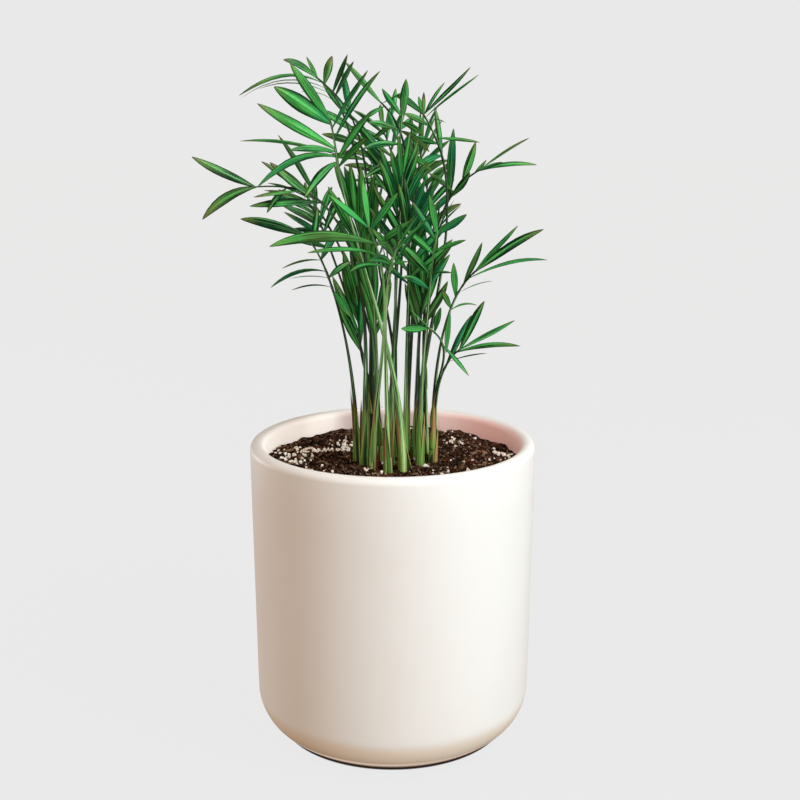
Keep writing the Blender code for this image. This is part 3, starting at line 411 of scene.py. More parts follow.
def growFronds():
    trunks, laid = {}, []
    for frond in fronds:
        stalk, rachis, stalkCorners, rachisCorners = stalkAndRachis(frond, trunks)
        if "fork" not in frond:
            trunks[frond["shoot"]] = stalk
        laid.append(dict(frond=frond, stalk=stalk, rachis=rachis, stalkCorners=stalkCorners,
                         rachisCorners=rachisCorners, leaves=[]))
    wood = []
    for item in laid:
        low, end = len(item["stalk"]) - 1, len(item["rachis"]) - 1
        radii = [stalkRadius(item["frond"], i / low) for i in range(low + 1)]
        radii += [rachisRadius(i / end) for i in range(1, end + 1)]
        path = item["stalk"] + item["rachis"][1:]
        wood.append((item, probe(roughTube(path, [r + growth["clearance"] for r in radii]))))
    blades = []
    for number, item in enumerate(laid):
        draw = random.Random(growth["leafSeed"] + number)
        face = Vector(item["frond"]["face"]).normalized()
        others = [tree for owner, tree in wood if owner is not item]
        grow = listedLeaves if "blades" in item["frond"] else ruledLeaves
        for place, leaf in enumerate(grow(item["frond"], item["rachis"], face, draw)):
            placed = clearLeaf(dict(leaf, number=place), item, others, blades)
            if placed:
                item["leaves"].append(placed)
                blades.append((item, probe(roughBlade(placed)), probe(roughBlade(placed, growth["ownRoot"]))))
    return laid


laid = growFronds()
print("fronds laid out:", len(laid), "with", sum(len(item["leaves"]) for item in laid), "leaflets")


# helpers for node trees

class Wire:
    # an output of a node, which can stand in a formula
    def __init__(self, tree, socket):
        self.tree = tree
        self.socket = socket

    def math(self, operation, *others, clamp=False):
        return wire(self.tree, "ShaderNodeMath", dict(enumerate((self, *others))), operation=operation,
                    use_clamp=clamp)

    def __add__(self, other):
        return self.math("ADD", other)

    def __sub__(self, other):
        return self.math("SUBTRACT", other)

    def __mul__(self, other):
        return self.math("MULTIPLY", other)

    def __abs__(self):
        return self.math("ABSOLUTE")


def feed(tree, socket, value):
    # links a wire to a socket, or sets the socket to a plain value
    if isinstance(value, Wire):
        tree.links.new(value.socket, socket)
    else:
        socket.default_value = (*value, 1) if socket.type == "RGBA" else value


def addNode(tree, kind, inputs=None, **settings):
    node = tree.nodes.new(kind)
    for key, value in settings.items():
        setattr(node, key, value)
    for key, value in (inputs or {}).items():
        feed(tree, node.inputs[key], value)
    return node


def wire(tree, kind, inputs=None, output=0, **settings):
    return Wire(tree, addNode(tree, kind, inputs, **settings).outputs[output])


def wiresOf(tree, sockets):
    return {socket.name: Wire(tree, socket) for socket in sockets}


def clamped(value):
    return value.math("ADD", 0.0, clamp=True)


def axes(vector):
    node = addNode(vector.tree, "ShaderNodeSeparateXYZ", {0: vector})
    return [Wire(vector.tree, socket) for socket in node.outputs]


def combine(tree, x=0.0, y=0.0, z=0.0):
    return wire(tree, "ShaderNodeCombineXYZ", {0: x, 1: y, 2: z})


def vectorMath(operation, a, b=(0, 0, 0), output=0):
    return wire(a.tree, "ShaderNodeVectorMath", {0: a, 1: b}, output, operation=operation)


def scaled(vector, factor):
    return wire(vector.tree, "ShaderNodeVectorMath", {0: vector, 3: factor}, operation="SCALE")


def mixColour(share, a, b):
    return wire(share.tree, "ShaderNodeMix", {0: share, 6: a, 7: b}, 2, data_type="RGBA")


def spread(value, low, high, outLow=0.0, outHigh=1.0):
    # a soft step from outLow at low to outHigh at high
    return wire(value.tree, "ShaderNodeMapRange", {0: value, 1: low, 2: high, 3: outLow, 4: outHigh},
                interpolation_type="SMOOTHSTEP")


def noiseAt(place, scale, detail=3.0, roughness=0.55, output=0):
    return wire(place.tree, "ShaderNodeTexNoise",
                {"Vector": place, "Scale": scale, "Detail": detail, "Roughness": roughness}, output)


def newTree(name, kind, inputs, outputs):
    # inputs are label: value, outputs are labels
    def socketKind(label, value=0.0):
        if label in ("Geometry", "Material", "Vector"):
            return label
        return "Color" if label.endswith("Colour") else "Int" if isinstance(value, int) else "Float"

    tree = bpy.data.node_groups.new(name, kind)
    for label, value in inputs.items():
        socket = tree.interface.new_socket(label, in_out="INPUT",
                                           socket_type="NodeSocket" + socketKind(label, value))
        if value is not None:
            socket.default_value = (*value, 1) if label.endswith("Colour") else value
    for label in outputs:
        tree.interface.new_socket(label, in_out="OUTPUT", socket_type="NodeSocket" + socketKind(label))
    return tree, wiresOf(tree, tree.nodes.new("NodeGroupInput").outputs)


def endTree(tree, **results):
    out = tree.nodes.new("NodeGroupOutput")
    for label, value in results.items():
        feed(tree, out.inputs[label], value)
    return tree


def placeGroup(tree, group, **inputs):
    node = tree.nodes.new("ShaderNodeGroup")
    node.node_tree = group
    for label, value in inputs.items():
        feed(tree, node.inputs[label], value)
    return wiresOf(tree, node.outputs)


def geometryTree(name, sizes):
    return newTree(name, "GeometryNodeTree", {"Geometry": None, **sizes, "Material": None}, ["Geometry"])


def endGeometry(tree, geometry, finish):
    # every geometry tree ends the same way: real geometry, then its material
    real = wire(tree, "GeometryNodeRealizeInstances", {0: geometry})
    coated = wire(tree, "GeometryNodeSetMaterial", {"Geometry": real, "Material": finish})
    return endTree(tree, Geometry=coated)


def readNamed(tree, name, kind="FLOAT"):
    return wire(tree, "GeometryNodeInputNamedAttribute", {"Name": name}, "Attribute", data_type=kind)


def storeNamed(geometry, name, value, kind="FLOAT", domain="POINT"):
    return wire(geometry.tree, "GeometryNodeStoreNamedAttribute",
                {"Geometry": geometry, "Name": name, "Value": value}, data_type=kind, domain=domain)


def pointPlace(tree):
    return wire(tree, "GeometryNodeInputPosition")


def circle(tree, sides, radius):
    return wire(tree, "GeometryNodeCurvePrimitiveCircle", {"Resolution": sides, "Radius": radius}, "Curve")


def moved(geometry, **values):
    return wire(geometry.tree, "GeometryNodeSetPosition", {"Geometry": geometry, **values})


def smooth(geometry, shade=True, domain="FACE", **values):
    return wire(geometry.tree, "GeometryNodeSetShadeSmooth",
                {"Geometry": geometry, "Shade Smooth": shade, **values}, domain=domain)


def runTree(source, tree, values):
    # the tree's result on an object, as that object's plain mesh
    step = source.modifiers.new(tree.name, "NODES")
    step.node_group = tree
    for item in tree.interface.items_tree:
        if item.item_type == "SOCKET" and item.in_out == "INPUT" and item.name in values:
            step[item.identifier] = values[item.name]
    bpy.context.view_layer.update()
    graph = bpy.context.evaluated_depsgraph_get()
    mesh = bpy.data.meshes.new_from_object(source.evaluated_get(graph), preserve_all_data_layers=True,
                                           depsgraph=graph)
    source.modifiers.remove(step)
    source.data = mesh
    mesh.name = source.name


# helpers for pieces and materials

def newObject(name, points, edges, faces, columns=None):
    mesh = bpy.data.meshes.new(name)
    mesh.from_pydata([tuple(p) for p in points], edges, faces)
    for label, values in (columns or {}).items():
        if isinstance(values[0], Vector):
            made = mesh.attributes.new(label, "FLOAT_VECTOR", "POINT")
            made.data.foreach_set("vector", [x for v in values for x in v])
        else:
            made = mesh.attributes.new(label, "FLOAT", "POINT")
            made.data.foreach_set("value", values)
    mesh.update()
    return showMesh(name, mesh)


def showMesh(name, mesh):
    made = bpy.data.objects.new(name, mesh)
    bpy.context.scene.collection.objects.link(made)
    return made


def settle(piece, node):
    # each piece rides on the one body and stands for its node
    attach(piece, "root")
    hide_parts(node)


def setShader(tree, **values):
    # plain values and wires on the shader's own sockets
    inputs = tree.nodes["Principled BSDF"].inputs
    for label, value in values.items():
        feed(tree, inputs[label.replace("_", " ")], value)


def newMaterial(name, **constants):
    made = bpy.data.materials.new(name)
    made.use_nodes = True
    setShader(made.node_tree, **constants)
    return made, made.node_tree


def bump(height, distance):
    return wire(height.tree, "ShaderNodeBump", {"Height": height, "Distance": distance, "Strength": 1.0})


def readColumn(tree, name, output="Fac"):
    return wire(tree, "ShaderNodeAttribute", None, output, attribute_name=name, attribute_type="GEOMETRY")


def readColumns(tree, names):
    return [readColumn(tree, name) for name in names.split()]


def objectPlace(tree):
    return wire(tree, "ShaderNodeTexCoord", output="Object")


# shader groups

def makeStreaks():
    # fibres that run along a leaflet, stem or sheath
    group, given = newTree("fibreStreaks", "ShaderNodeTree", {
        "Vector": (0, 0, 0), "Seed": 0.0, "AcrossScale": 5.0, "AlongScale": 0.3}, ["Mask"])
    x, y, z = axes(given["Vector"])
    across, shift = given["AcrossScale"], given["Seed"] * 41.0
    place = combine(group, x * across + shift, y * across, z * given["AlongScale"])
    return endTree(group, Mask=noiseAt(place, 1.0, 4.0, 0.6))


def makeAgeing():
    # one colour out of how fresh, how yellow and how dry a place is
    group, given = newTree("ageingColour", "ShaderNodeTree", {
        "Fresh": 0.5, "Yellowing": 0.0, "Dryness": 0.0, "DeepColour": (0.006, 0.055, 0.016),
        "FreshColour": (0.060, 0.30, 0.040), "YellowColour": (0.36, 0.40, 0.05),
        "DryColour": (0.20, 0.11, 0.045)}, ["Colour"])
    mixed = given["DeepColour"]
    for share, colour in (("Fresh", "FreshColour"), ("Yellowing", "YellowColour"), ("Dryness", "DryColour")):
        mixed = mixColour(given[share], mixed, given[colour])
    return endTree(group, Colour=mixed)


def makeGrain():
    # loose or fired grain at two sizes, as a mask and a height
    group, given = newTree("mineralGrain", "ShaderNodeTree",
                           {"Vector": (0, 0, 0), "Scale": 300.0, "Pits": 0.3}, ["Mask", "Height"])
    broad = noiseAt(given["Vector"], given["Scale"], 4.0, 0.6)
    cells = wire(group, "ShaderNodeTexVoronoi", {"Vector": given["Vector"], "Scale": given["Scale"] * 3.1},
                 "Distance")
    return endTree(group, Mask=broad, Height=broad - spread(cells, 0.0, 0.35, 1.0, 0.0) * given["Pits"])


fibreStreaks, ageingColour, mineralGrain = makeStreaks(), makeAgeing(), makeGrain()


def streaksAt(place, seed, scales):
    return placeGroup(place.tree, fibreStreaks, Vector=place, Seed=seed, AcrossScale=scales[0],
                      AlongScale=scales[1])["Mask"]


def agedColour(finish, fresh, yellowing, dryness, dry=None):
    return placeGroup(fresh.tree, ageingColour, Fresh=fresh, Yellowing=yellowing, Dryness=dryness,
                      DeepColour=finish["deep"], FreshColour=finish["fresh"], YellowColour=finish["yellow"],
                      DryColour=dry or finish["dry"])["Colour"]


def grainAt(place, scale, pits):
    return placeGroup(place.tree, mineralGrain, Vector=place, Scale=scale, Pits=pits)


# plant materials
# A pair of numbers is where a soft step starts and ends. Two more are its values there.

leafFinish = dict(
    deep=(0.0015, 0.026, 0.007), fresh=(0.082, 0.55, 0.100), yellow=(0.24, 0.31, 0.060),
    dry=(0.15, 0.085, 0.045), rib=(0.20, 0.52, 0.18), teal=(0.005, 0.19, 0.078), olive=(0.11, 0.17, 0.045),
    underside=(0.040, 0.20, 0.07), streakScales=(2.6, 0.20), streakMiddle=0.485, streaks=4.4, blotchSize=60.0,
    blotches=1.1, veins=5.0, veinTint=0.04, ragged=0.35, browning=-0.42, dryEdge=(-0.08, 0.16),
    yellowEdge=(-0.30, 0.02), yellowShare=0.40, yellowAge=(0.15, 1.0, 0.0, 0.50), rimWidth=(0.86, 1.0),
    rimDryness=0.8, drift=38.0, driftCycles=17.0, driftShare=0.30, tealAt=(0.62, 0.40, 0.0, 0.55),
    oliveAt=(0.66, 0.90, 0.0, 0.45), ribWidth=(0.02, 0.12, 1.0, 0.0), ribShare=0.34,
    undersideAt=(0.05, 0.4), undersideShare=0.30,
    borderWidth=(0.58, 0.92), border=0.86, roughness=0.34, streakRoughness=0.22, undersideRoughness=0.16,
    gloss=(0.44, 0.66, 0.03, 0.45), veinDepth=0.00012, veinRelief=0.15, ribRelief=-0.6)


def makeLeafSkin():
    made, tree = newMaterial("leafSkin", Specular_IOR_Level=0.05, Coat_Roughness=0.30)
    s = leafFinish
    across, along, span, tint, age, under = readColumns(tree, "across along span tint age under")
    streak = streaksAt(combine(tree, across, 0.0, span), tint, s["streakScales"])
    blotch = noiseAt(objectPlace(tree), s["blotchSize"], 2.0)
    veins = (across * (s["veins"] * 2 * math.pi)).math("SINE")
    fresh = (streak - s["streakMiddle"]) * s["streaks"] + tint + (blotch - 0.5) * s["blotches"]
    fresh = clamped(fresh + veins * s["veinTint"])
    beyondBrink = (streak - 0.5) * s["ragged"] + along - (age * s["browning"] + 1.0)
    beyondRib = abs(across)
    yellowing = spread(age, *s["yellowAge"]) + spread(beyondBrink, *s["yellowEdge"]) * s["yellowShare"]
    dryness = spread(beyondBrink, *s["dryEdge"])
    dryness = dryness.math("MAXIMUM", spread(beyondRib, *s["rimWidth"]) * age * s["rimDryness"])
    colour = agedColour(s, fresh, yellowing, dryness)
    drift = (tint * s["driftCycles"]).math("FRACT") * s["driftShare"]
    drift = drift + noiseAt(objectPlace(tree), s["drift"], 2.0)
    colour = mixColour(spread(drift, *s["tealAt"]), colour, s["teal"])
    colour = mixColour(spread(drift, *s["oliveAt"]), colour, s["olive"])
    rib = spread(beyondRib, *s["ribWidth"])
    colour = mixColour(rib * s["ribShare"], colour, s["rib"])
    below = spread(under, *s["undersideAt"])
    colour = mixColour(below * s["undersideShare"], colour, s["underside"])
    colour = mixColour(spread(beyondRib, *s["borderWidth"]) * s["border"], colour, s["deep"])
    roughness = streak * s["streakRoughness"] + s["roughness"] + below * s["undersideRoughness"]
    relief = veins * s["veinRelief"] + streak + rib * s["ribRelief"]
    setShader(tree, Base_Color=colour, Roughness=roughness, Coat_Weight=spread(streak, *s["gloss"]),
              Normal=bump(relief, s["veinDepth"]))
    return made


stemFinish = dict(
    deep=(0.0015, 0.022, 0.007), fresh=(0.15, 0.46, 0.13), yellow=(0.55, 0.66, 0.20),
    dry=(0.15, 0.055, 0.028), paintedShine=(0.50, 0.78, 0.39), streakScales=(1.15, 0.16), fineScales=(2.8, 0.35),
    soilReach=(0.0, 5.5, 1.0, 0.0), line=(0.42, 0.60, -0.58, 0.56), fine=2.4, soilFresh=0.12, tintLight=0.12,
    light=(0.54, 0.64),
    lightYellow=(0.55, 0.16), soilYellow=0.14, scarSize=1.1, scars=(0.60, 0.72), soilScars=0.5,
    dryAge=(0.75, 0.95), ridge=(0.50, 0.60), ridgeFresh=(0.30, 0.90, 0.0, 0.78), innerShade=0.94,
    innerSide=(0.45, -0.35), middle=(0.002, -0.009, 0), roughness=0.26, fineRoughness=0.25, relief=0.00016)


def makeStemSkin():
    made, tree = newMaterial("stemSkin", Specular_IOR_Level=0.26)
    s = stemFinish
    span, tint, age = readColumns(tree, "span tint age")
    x, y, _ = axes(readColumn(tree, "around", "Vector"))
    place = combine(tree, x, y, span)
    streak = streaksAt(place, tint, s["streakScales"])
    fine = streaksAt(place, age, s["fineScales"])
    nearSoil = spread(span, *s["soilReach"])
    fresh = (fine - 0.5) * s["fine"] + (tint + spread(streak, *s["line"])) + nearSoil * s["soilFresh"]
    fresh = clamped(fresh)
    light = spread(tint * s["tintLight"] + fine, *s["light"])
    yellowing = light * (nearSoil * s["lightYellow"][0] + s["lightYellow"][1]) + nearSoil * s["soilYellow"]
    scars = spread(noiseAt(place, s["scarSize"], 3.0), *s["scars"]) * (nearSoil * s["soilScars"] + age)
    dryness = scars.math("MAXIMUM", spread(age, *s["dryAge"]), clamp=True)
    colour = agedColour(s, fresh, clamped(yellowing), dryness)
    # painted highlight: the ridges of fresh streaks are mixed towards a pale shine
    ridge = spread(streak, *s["ridge"]) * spread(fresh, *s["ridgeFresh"])
    colour = mixColour(ridge, colour, s["paintedShine"])
    # painted shade: the sides that face into the tuft are darker, where the stems stand in each other's shade
    outward = vectorMath("MULTIPLY", vectorMath("SUBTRACT", objectPlace(tree), s["middle"]), (1, 1, 0))
    facing = wire(tree, "ShaderNodeNewGeometry", output="Normal")
    facing = vectorMath("DOT_PRODUCT", facing, vectorMath("NORMALIZE", outward), "Value")
    colour = mixColour(spread(facing, *s["innerSide"]) * s["innerShade"], colour, s["deep"])
    setShader(tree, Base_Color=colour, Roughness=fine * s["fineRoughness"] + s["roughness"],
              Normal=bump(streak + fine, s["relief"]))
    return made


sheathFinish = dict(
    deep=(0.012, 0.060, 0.014), fresh=(0.20, 0.42, 0.075), yellow=(0.62, 0.58, 0.20),
    dry=(0.17, 0.050, 0.026), straw=(0.46, 0.27, 0.10), streakScales=(3.0, 0.25), streaks=3.0,
    marginWidth=(0.72, 1.0), margin=0.75,
    yellowAt=(0.54, 0.72), ragged=0.5, strawStreaks=0.6, strawAt=(0.85, 1.05), browning=(-1.15, 1.06),
    dryEdge=(-0.10, 0.14), roughness=0.45, streakRoughness=0.2, relief=0.00018)


def makeSheathSkin():
    made, tree = newMaterial("sheathSkin", Specular_IOR_Level=0.10)
    s = sheathFinish
    across, along, span, tint, age = readColumns(tree, "across along span tint age")
    streak = streaksAt(combine(tree, across, 0.0, span), tint, s["streakScales"])
    fresh = clamped((streak - 0.5) * s["streaks"] + tint)
    margin = spread(abs(across), *s["marginWidth"]) * s["margin"]
    yellowing = margin.math("MAXIMUM", spread(streak, *s["yellowAt"]), clamp=True)
    brink = age * s["browning"][0] + s["browning"][1]
    dryness = spread((streak - 0.5) * s["ragged"] + along - brink, *s["dryEdge"])
    dry = mixColour(spread(streak * s["strawStreaks"] + tint, *s["strawAt"]), s["dry"], s["straw"])
    setShader(tree, Base_Color=agedColour(s, fresh, yellowing, dryness, dry),
              Roughness=streak * s["streakRoughness"] + s["roughness"], Normal=bump(streak, s["relief"]))
    return made


leafSkin, stemSkin, sheathSkin = makeLeafSkin(), makeStemSkin(), makeSheathSkin()
print("plant materials ready")


# leaflets

# tint 0 is deep green and 1 is bright green, age is how far the tips have browned
frondLooks = {
    "top_left": (0.26, 0.34), "left_high": (0.46, 0.12), "left_mid": (0.12, 0.28), "left_low": (0.14, 0.22),
    "front_bright": (0.64, 0.08), "right_mid": (0.38, 0.22), "right_low": (0.30, 0.15),
    "right_front": (0.36, 0.15), "right_high": (0.30, 0.16), "top_right": (0.26, 0.20),
    "top_centre": (0.38, 0.18), "top_back": (0.34, 0.20), "front_small": (0.48, 0.12),
    "top_mid_left": (0.24, 0.30), "top_mid_right": (0.16, 0.25), "centre_high": (0.26, 0.15),
    "centre_dark": (0.12, 0.10), "centre_left": (0.52, 0.12), "low_left": (0.28, 0.12),
    "low_centre": (0.46, 0.10), "back_left": (0.08, 0.30), "back_far": (0.08, 0.30),
    "back_right": (0.12, 0.25), "front_lean": (0.44, 0.12), "left_inner": (0.08, 0.30),
    "mid_back": (0.06, 0.25), "right_inner": (0.12, 0.20), "low_right": (0.34, 0.15)}

# leaflets that stand out in the photograph, by frond and place in its list: tint, age
leafletLooks = {
    ("left_high", 0): (0.58, 0.05), ("left_high", 1): (0.44, 0.05), ("left_high", 2): (0.74, 0.25),
    ("front_bright", 0): (0.52, 0.02), ("front_bright", 1): (0.44, 0.05), ("right_mid", 0): (0.34, 0.45),
    ("top_left", 0): (0.36, 0.45), ("top_left", 1): (0.36, 0.40), ("right_high", 0): (0.50, 0.50),
    ("right_high", 1): (0.55, 0.25), ("top_right", 3): (0.55, 0.80), ("top_right", 4): (0.60, 0.30),
    ("left_low", 4): (0.16, 0.12), ("right_low", 4): (0.20, 0.05), ("left_mid", 0): (0.04, 0.24),
    ("left_mid", 1): (0.05, 0.30), ("right_high", 5): (0.12, 0.05), ("top_back", 0): (0.52, 0.10)}

leafSizes = dict(
    stations=(0.0, 0.06, 0.15, 0.26, 0.38, 0.50, 0.62, 0.74, 0.85, 0.93, 0.98, 1.0), rootWidth=0.045,
    widestShift=1.12, widest=0.5, rootBluntness=0.85, tipBluntness=0.72, twist=14, straightAt=0.3, wave=0.05,
    waveBeat=(9, 16), wavePhase=(0, 6), curve=0.035, tintSpread=(-0.30, 0.26), leastAge=0.02, mostAge=1.6,
    ribWidth=0.1, rimStart=0.97)

# what the leaflets' tree takes: the sides of a section, then sizes in shares of half a leaflet's width
bladeShape = dict(Sides=8, Thickness=0.055, Fold=0.22, Camber=0.05, Groove=0.035, Rib=0.08)


def drawnAlong(lines, section, **values):
    # a section drawn along each line
    return wire(lines.tree, "GeometryNodeCurveToMesh",
                {"Curve": lines, "Profile Curve": section, "Fill Caps": True, **values})


def makeBladeTree():
    # leaflet blades: a folded section with a groove above and a rib below, drawn along each midrib
    tree, given = geometryTree("leafletBlades", bladeShape)
    x, y, _ = axes(pointPlace(tree))
    section = storeNamed(circle(tree, given["Sides"], 1.0), "across", x)
    section = storeNamed(section, "under", y * -1.0)
    across, under = readNamed(tree, "across"), readNamed(tree, "under")
    beyond = abs(across)
    height = under * (given["Thickness"] * -1.0) + (across * across * -1.0 + 1.0) * given["Camber"]
    height = height - beyond * given["Fold"]
    isBelow = under.math("GREATER_THAN", 0.0)
    dip = wire(tree, "ShaderNodeMix", {0: isBelow, 2: given["Groove"], 3: given["Rib"]}, data_type="FLOAT")
    height = height - beyond.math("LESS_THAN", leafSizes["ribWidth"]) * dip
    section = moved(section, Position=combine(tree, height, across))
    lines = wire(tree, "GeometryNodeMeshToCurve", {"Mesh": given["Geometry"]})
    lines = wire(tree, "GeometryNodeSetCurveNormal",
                 {"Curve": lines, "Normal": readNamed(tree, "upper", "FLOAT_VECTOR")}, mode="FREE")
    blades = drawnAlong(lines, section, Scale=readNamed(tree, "halfWidth"))
    blades = wire(tree, "GeometryNodeMergeByDistance", {"Geometry": blades, "Distance": 0.0000005})
    rim = abs(readNamed(tree, "across")).math("GREATER_THAN", leafSizes["rimStart"])
    blades = smooth(smooth(blades), False, "EDGE", Selection=rim)
    return endGeometry(tree, blades, given["Material"])


def fineOutline(t):
    # narrow where the leaflet leaves the rachis, widest past its middle, with a blunt tip
    s = leafSizes
    if t >= 1:
        return 0.0
    swell = math.sin(math.pi * min(1.0, s["rootWidth"] + (1 - s["rootWidth"]) * t ** s["widestShift"]))
    return 0.5 * swell ** (s["rootBluntness"] if t < s["widest"] else s["tipBluntness"])


def newColumns(names):
    return {name: [] for name in names.split()}


def addRow(columns, *values):
    for column, value in zip(columns.values(), values):
        column.append(value)


def bounded(value, low=0.0, high=1.0):
    return min(max(value, low), high)


def bladeLines(items):
    # one row of points for each leaflet's midrib, with what the tree needs to know at each point
    s = leafSizes
    points, edges = [], []
    columns = newColumns("halfWidth along span tint age upper")
    for item in items:
        name = item["frond"]["name"]
        draw = random.Random(name)
        for leaf in item["leaves"]:
            tint, age = frondLooks[name]
            tint = bounded(tint + draw.uniform(*s["tintSpread"]))
            age = bounded(age * draw.random() ** 2 * s["mostAge"], s["leastAge"])
            tint, age = leafletLooks.get((name, leaf["number"]), (tint, age))
            twist = math.radians(draw.uniform(-1, 1) * s["twist"])
            beat, phase = draw.uniform(*s["waveBeat"]), draw.uniform(*s["wavePhase"])
            curve = draw.uniform(-1, 1) * s["curve"] * leaf["length"]
            first = len(points)
            for t in s["stations"]:
                place, way = midrib(leaf, t)
                upper = Matrix.Rotation(twist * (t - s["straightAt"]), 3, way) @ squareTo(leaf["upper"], way)
                ripple = 1 + s["wave"] * math.sin(beat * t + phase) * (1 - t)
                halfWidth = max(leaf["width"] * fineOutline(t) * ripple, 0.0)
                points.append(place + way.cross(upper) * (curve * math.sin(math.pi * t) * t))
                addRow(columns, halfWidth, t, t * leaf["length"] * 100, tint, age, upper)
            edges += [(i, i + 1) for i in range(first, len(points) - 1)]
    return points, edges, columns


bladeTree = makeBladeTree()
shootItems = {name: [item for item in laid if item["frond"]["shoot"] == name] for name in feet}
faceCount = 0
for name, items in shootItems.items():
    points, edges, columns = bladeLines(items)
    leaves = newObject(name + "_leaves", points, edges, [], columns)
    runTree(leaves, bladeTree, {**bladeShape, "Material": leafSkin})
    settle(leaves, name)
    faceCount += len(leaves.data.polygons)
print("leaflets drawn:", faceCount, "faces")


# stems and leaf stalks

stemSizes = dict(sides=12, stalkSteps=26, rachisSteps=12, swelling=0.00018, swellingReach=0.0012,
                 neck=0.00058, tip=0.00034, fork=0.00095, taper=2.1, tintSpread=(-0.12, 0.12))

# tint and age of a shoot's stalks, as the photograph shows them
# the stalks at the back have lower tints, partly painted shade where they stand behind the others
stemLooks = {
    "shoot_01": (0.04, 0.15), "shoot_02": (0.30, 0.25), "shoot_03": (0.66, 0.10), "shoot_04": (0.72, 0.15),
    "shoot_05": (0.74, 0.10), "shoot_06": (0.34, 0.15), "shoot_07": (0.12, 0.20), "shoot_08": (0.56, 0.15),
    "shoot_09": (0.16, 0.15), "shoot_10": (0.54, 0.15), "shoot_11": (0.34, 0.25), "shoot_12": (0.16, 0.15),
    "shoot_13": (0.28, 0.20), "shoot_14": (0.20, 0.20), "shoot_15": (0.14, 0.84), "shoot_16": (0.10, 0.20),
    "shoot_17": (0.10, 0.20), "shoot_18": (0.42, 0.15)}


def makeStemTree():
    # round stems: a circle drawn along each row of points, as wide as each point says
    tree, given = geometryTree("palmStems", {"Sides": 12})
    section = storeNamed(circle(tree, given["Sides"], 1.0), "around", pointPlace(tree), "FLOAT_VECTOR")
    lines = wire(tree, "GeometryNodeMeshToCurve", {"Mesh": given["Geometry"]})
    tubes = smooth(drawnAlong(lines, section, Scale=readNamed(tree, "radius")))
    return endGeometry(tree, tubes, given["Material"])


def fineRadius(frond, t):
    # a stem is as thick at its foot as its solid, and slimmer than it further up
    low = stemSizes["fork"] if "fork" in frond else feet[frond["shoot"]][2] * mm
    return stemSizes["neck"] + (low - stemSizes["neck"]) * (1 - t) ** stemSizes["taper"]


def stemRows(item):
    # points and radii from the foot or fork to the frond's tip, a little thicker where leaflets leave
    s, frond = stemSizes, item["frond"]
    lead = 0 if "fork" in frond else 1
    total = growth["stalkSteps"] + lead
    rows = [(item["stalk"][0], fineRadius(frond, 0.0))] if lead else []
    for i, point in enumerate(bezier(*item["stalkCorners"], s["stalkSteps"])):
        share = (lead + growth["stalkSteps"] * i / s["stalkSteps"]) / total
        rows.append((point, fineRadius(frond, share)))
    for i, point in enumerate(bezier(*item["rachisCorners"], s["rachisSteps"])[1:], 1):
        near = min((point - leaf["root"]).length for leaf in item["leaves"])
        swelling = s["swelling"] * math.exp(-(near / s["swellingReach"]) ** 2)
        slim = s["neck"] + (s["tip"] - s["neck"]) * i / s["rachisSteps"]
        rows.append((point, slim + swelling))
    return rows


def stemLines(name, items):
    points, edges = [], []
    columns = newColumns("radius span tint age")
    for item in items:
        frond = item["frond"]
        tint, age = stemLooks[name]
        tint = bounded(tint + random.Random(frond["name"] + " stalk").uniform(*stemSizes["tintSpread"]))
        first = len(points)
        walked = frond["fork"] * mm if "fork" in frond else -growth["stemSink"]
        for i, (point, radius) in enumerate(stemRows(item)):
            if i:
                walked += (point - points[-1]).length
            points.append(point)
            addRow(columns, radius, walked * 100, tint, age)
        edges += [(i, i + 1) for i in range(first, len(points) - 1)]
    return points, edges, columns


stemTree = makeStemTree()
for name, items in shootItems.items():
    points, edges, columns = stemLines(name, items)
    stems = newObject(name + "_stems", points, edges, [], columns)
    runTree(stems, stemTree, {"Sides": stemSizes["sides"], "Material": stemSkin})
    settle(stems, name)
print("stems drawn")


# sheaths

sheathSizes = dict(
    rows=16, columns=9, wall=0.00018, thinning=0.7, gap=0.00012, pointed=1.25, rounded=0.85, tipAngle=0.001,
    scaleWrap=1.25, scaleFoot=(0.004, 0.010), scaleSpread=(0.8, 1.2), scaleFollows=0.3, scaleTaper=0.82,
    scaleTints=((0.3, 0.8), (0.08, 0.30)), below=0.012, wrap=1.9, wrapLength=(0.026, 0.044),
    wrapTints=((0.25, 0.75), (0.08, 0.30)),
    wrapGap=0.0001, followSteps=40, huskGap=0.0003, forkLength=0.014, forkWrap=2.0,
    forkTints=((0.2, 0.6), (0.06, 0.2)), forkLean=0.0005, forkBelow=0.75, forkStretch=1.1,
    forkThinning=(0.12, 0.86), stemThinning=(0.1, 0.9))

# tint and age of the foot scales that are dry or yellow in the photograph
scaleLooks = {
    "shoot_04": (0.4, 0.98), "shoot_09": (0.9, 0.55), "shoot_03": (0.7, 0.40), "shoot_14": (0.3, 0.90)}

# dry husks at the feet, as the photograph shows them: the way they face in degrees, their length,
# how far they lean off the stem, half the angle that they wrap, and their tint and age
husks = {
    "shoot_03": (-14, 0.0165, 0.0016, 1.0, (0.25, 1.02)),
    "shoot_09": (-8, 0.0215, 0.0011, 1.1, (0.95, 1.00)),
    "shoot_02": (150, 0.0330, 0.0006, 1.2, (0.70, 0.62)),
    "shoot_04": (200, 0.0260, 0.0005, 0.9, (0.60, 0.70)),
    "shoot_01": (190, 0.0380, 0.0005, 1.2, (0.55, 0.66)),
    "shoot_08": (-20, 0.0280, 0.0006, 1.0, (0.75, 0.55)),
    "shoot_05": (220, 0.0300, 0.0005, 0.9, (0.80, 0.50))}


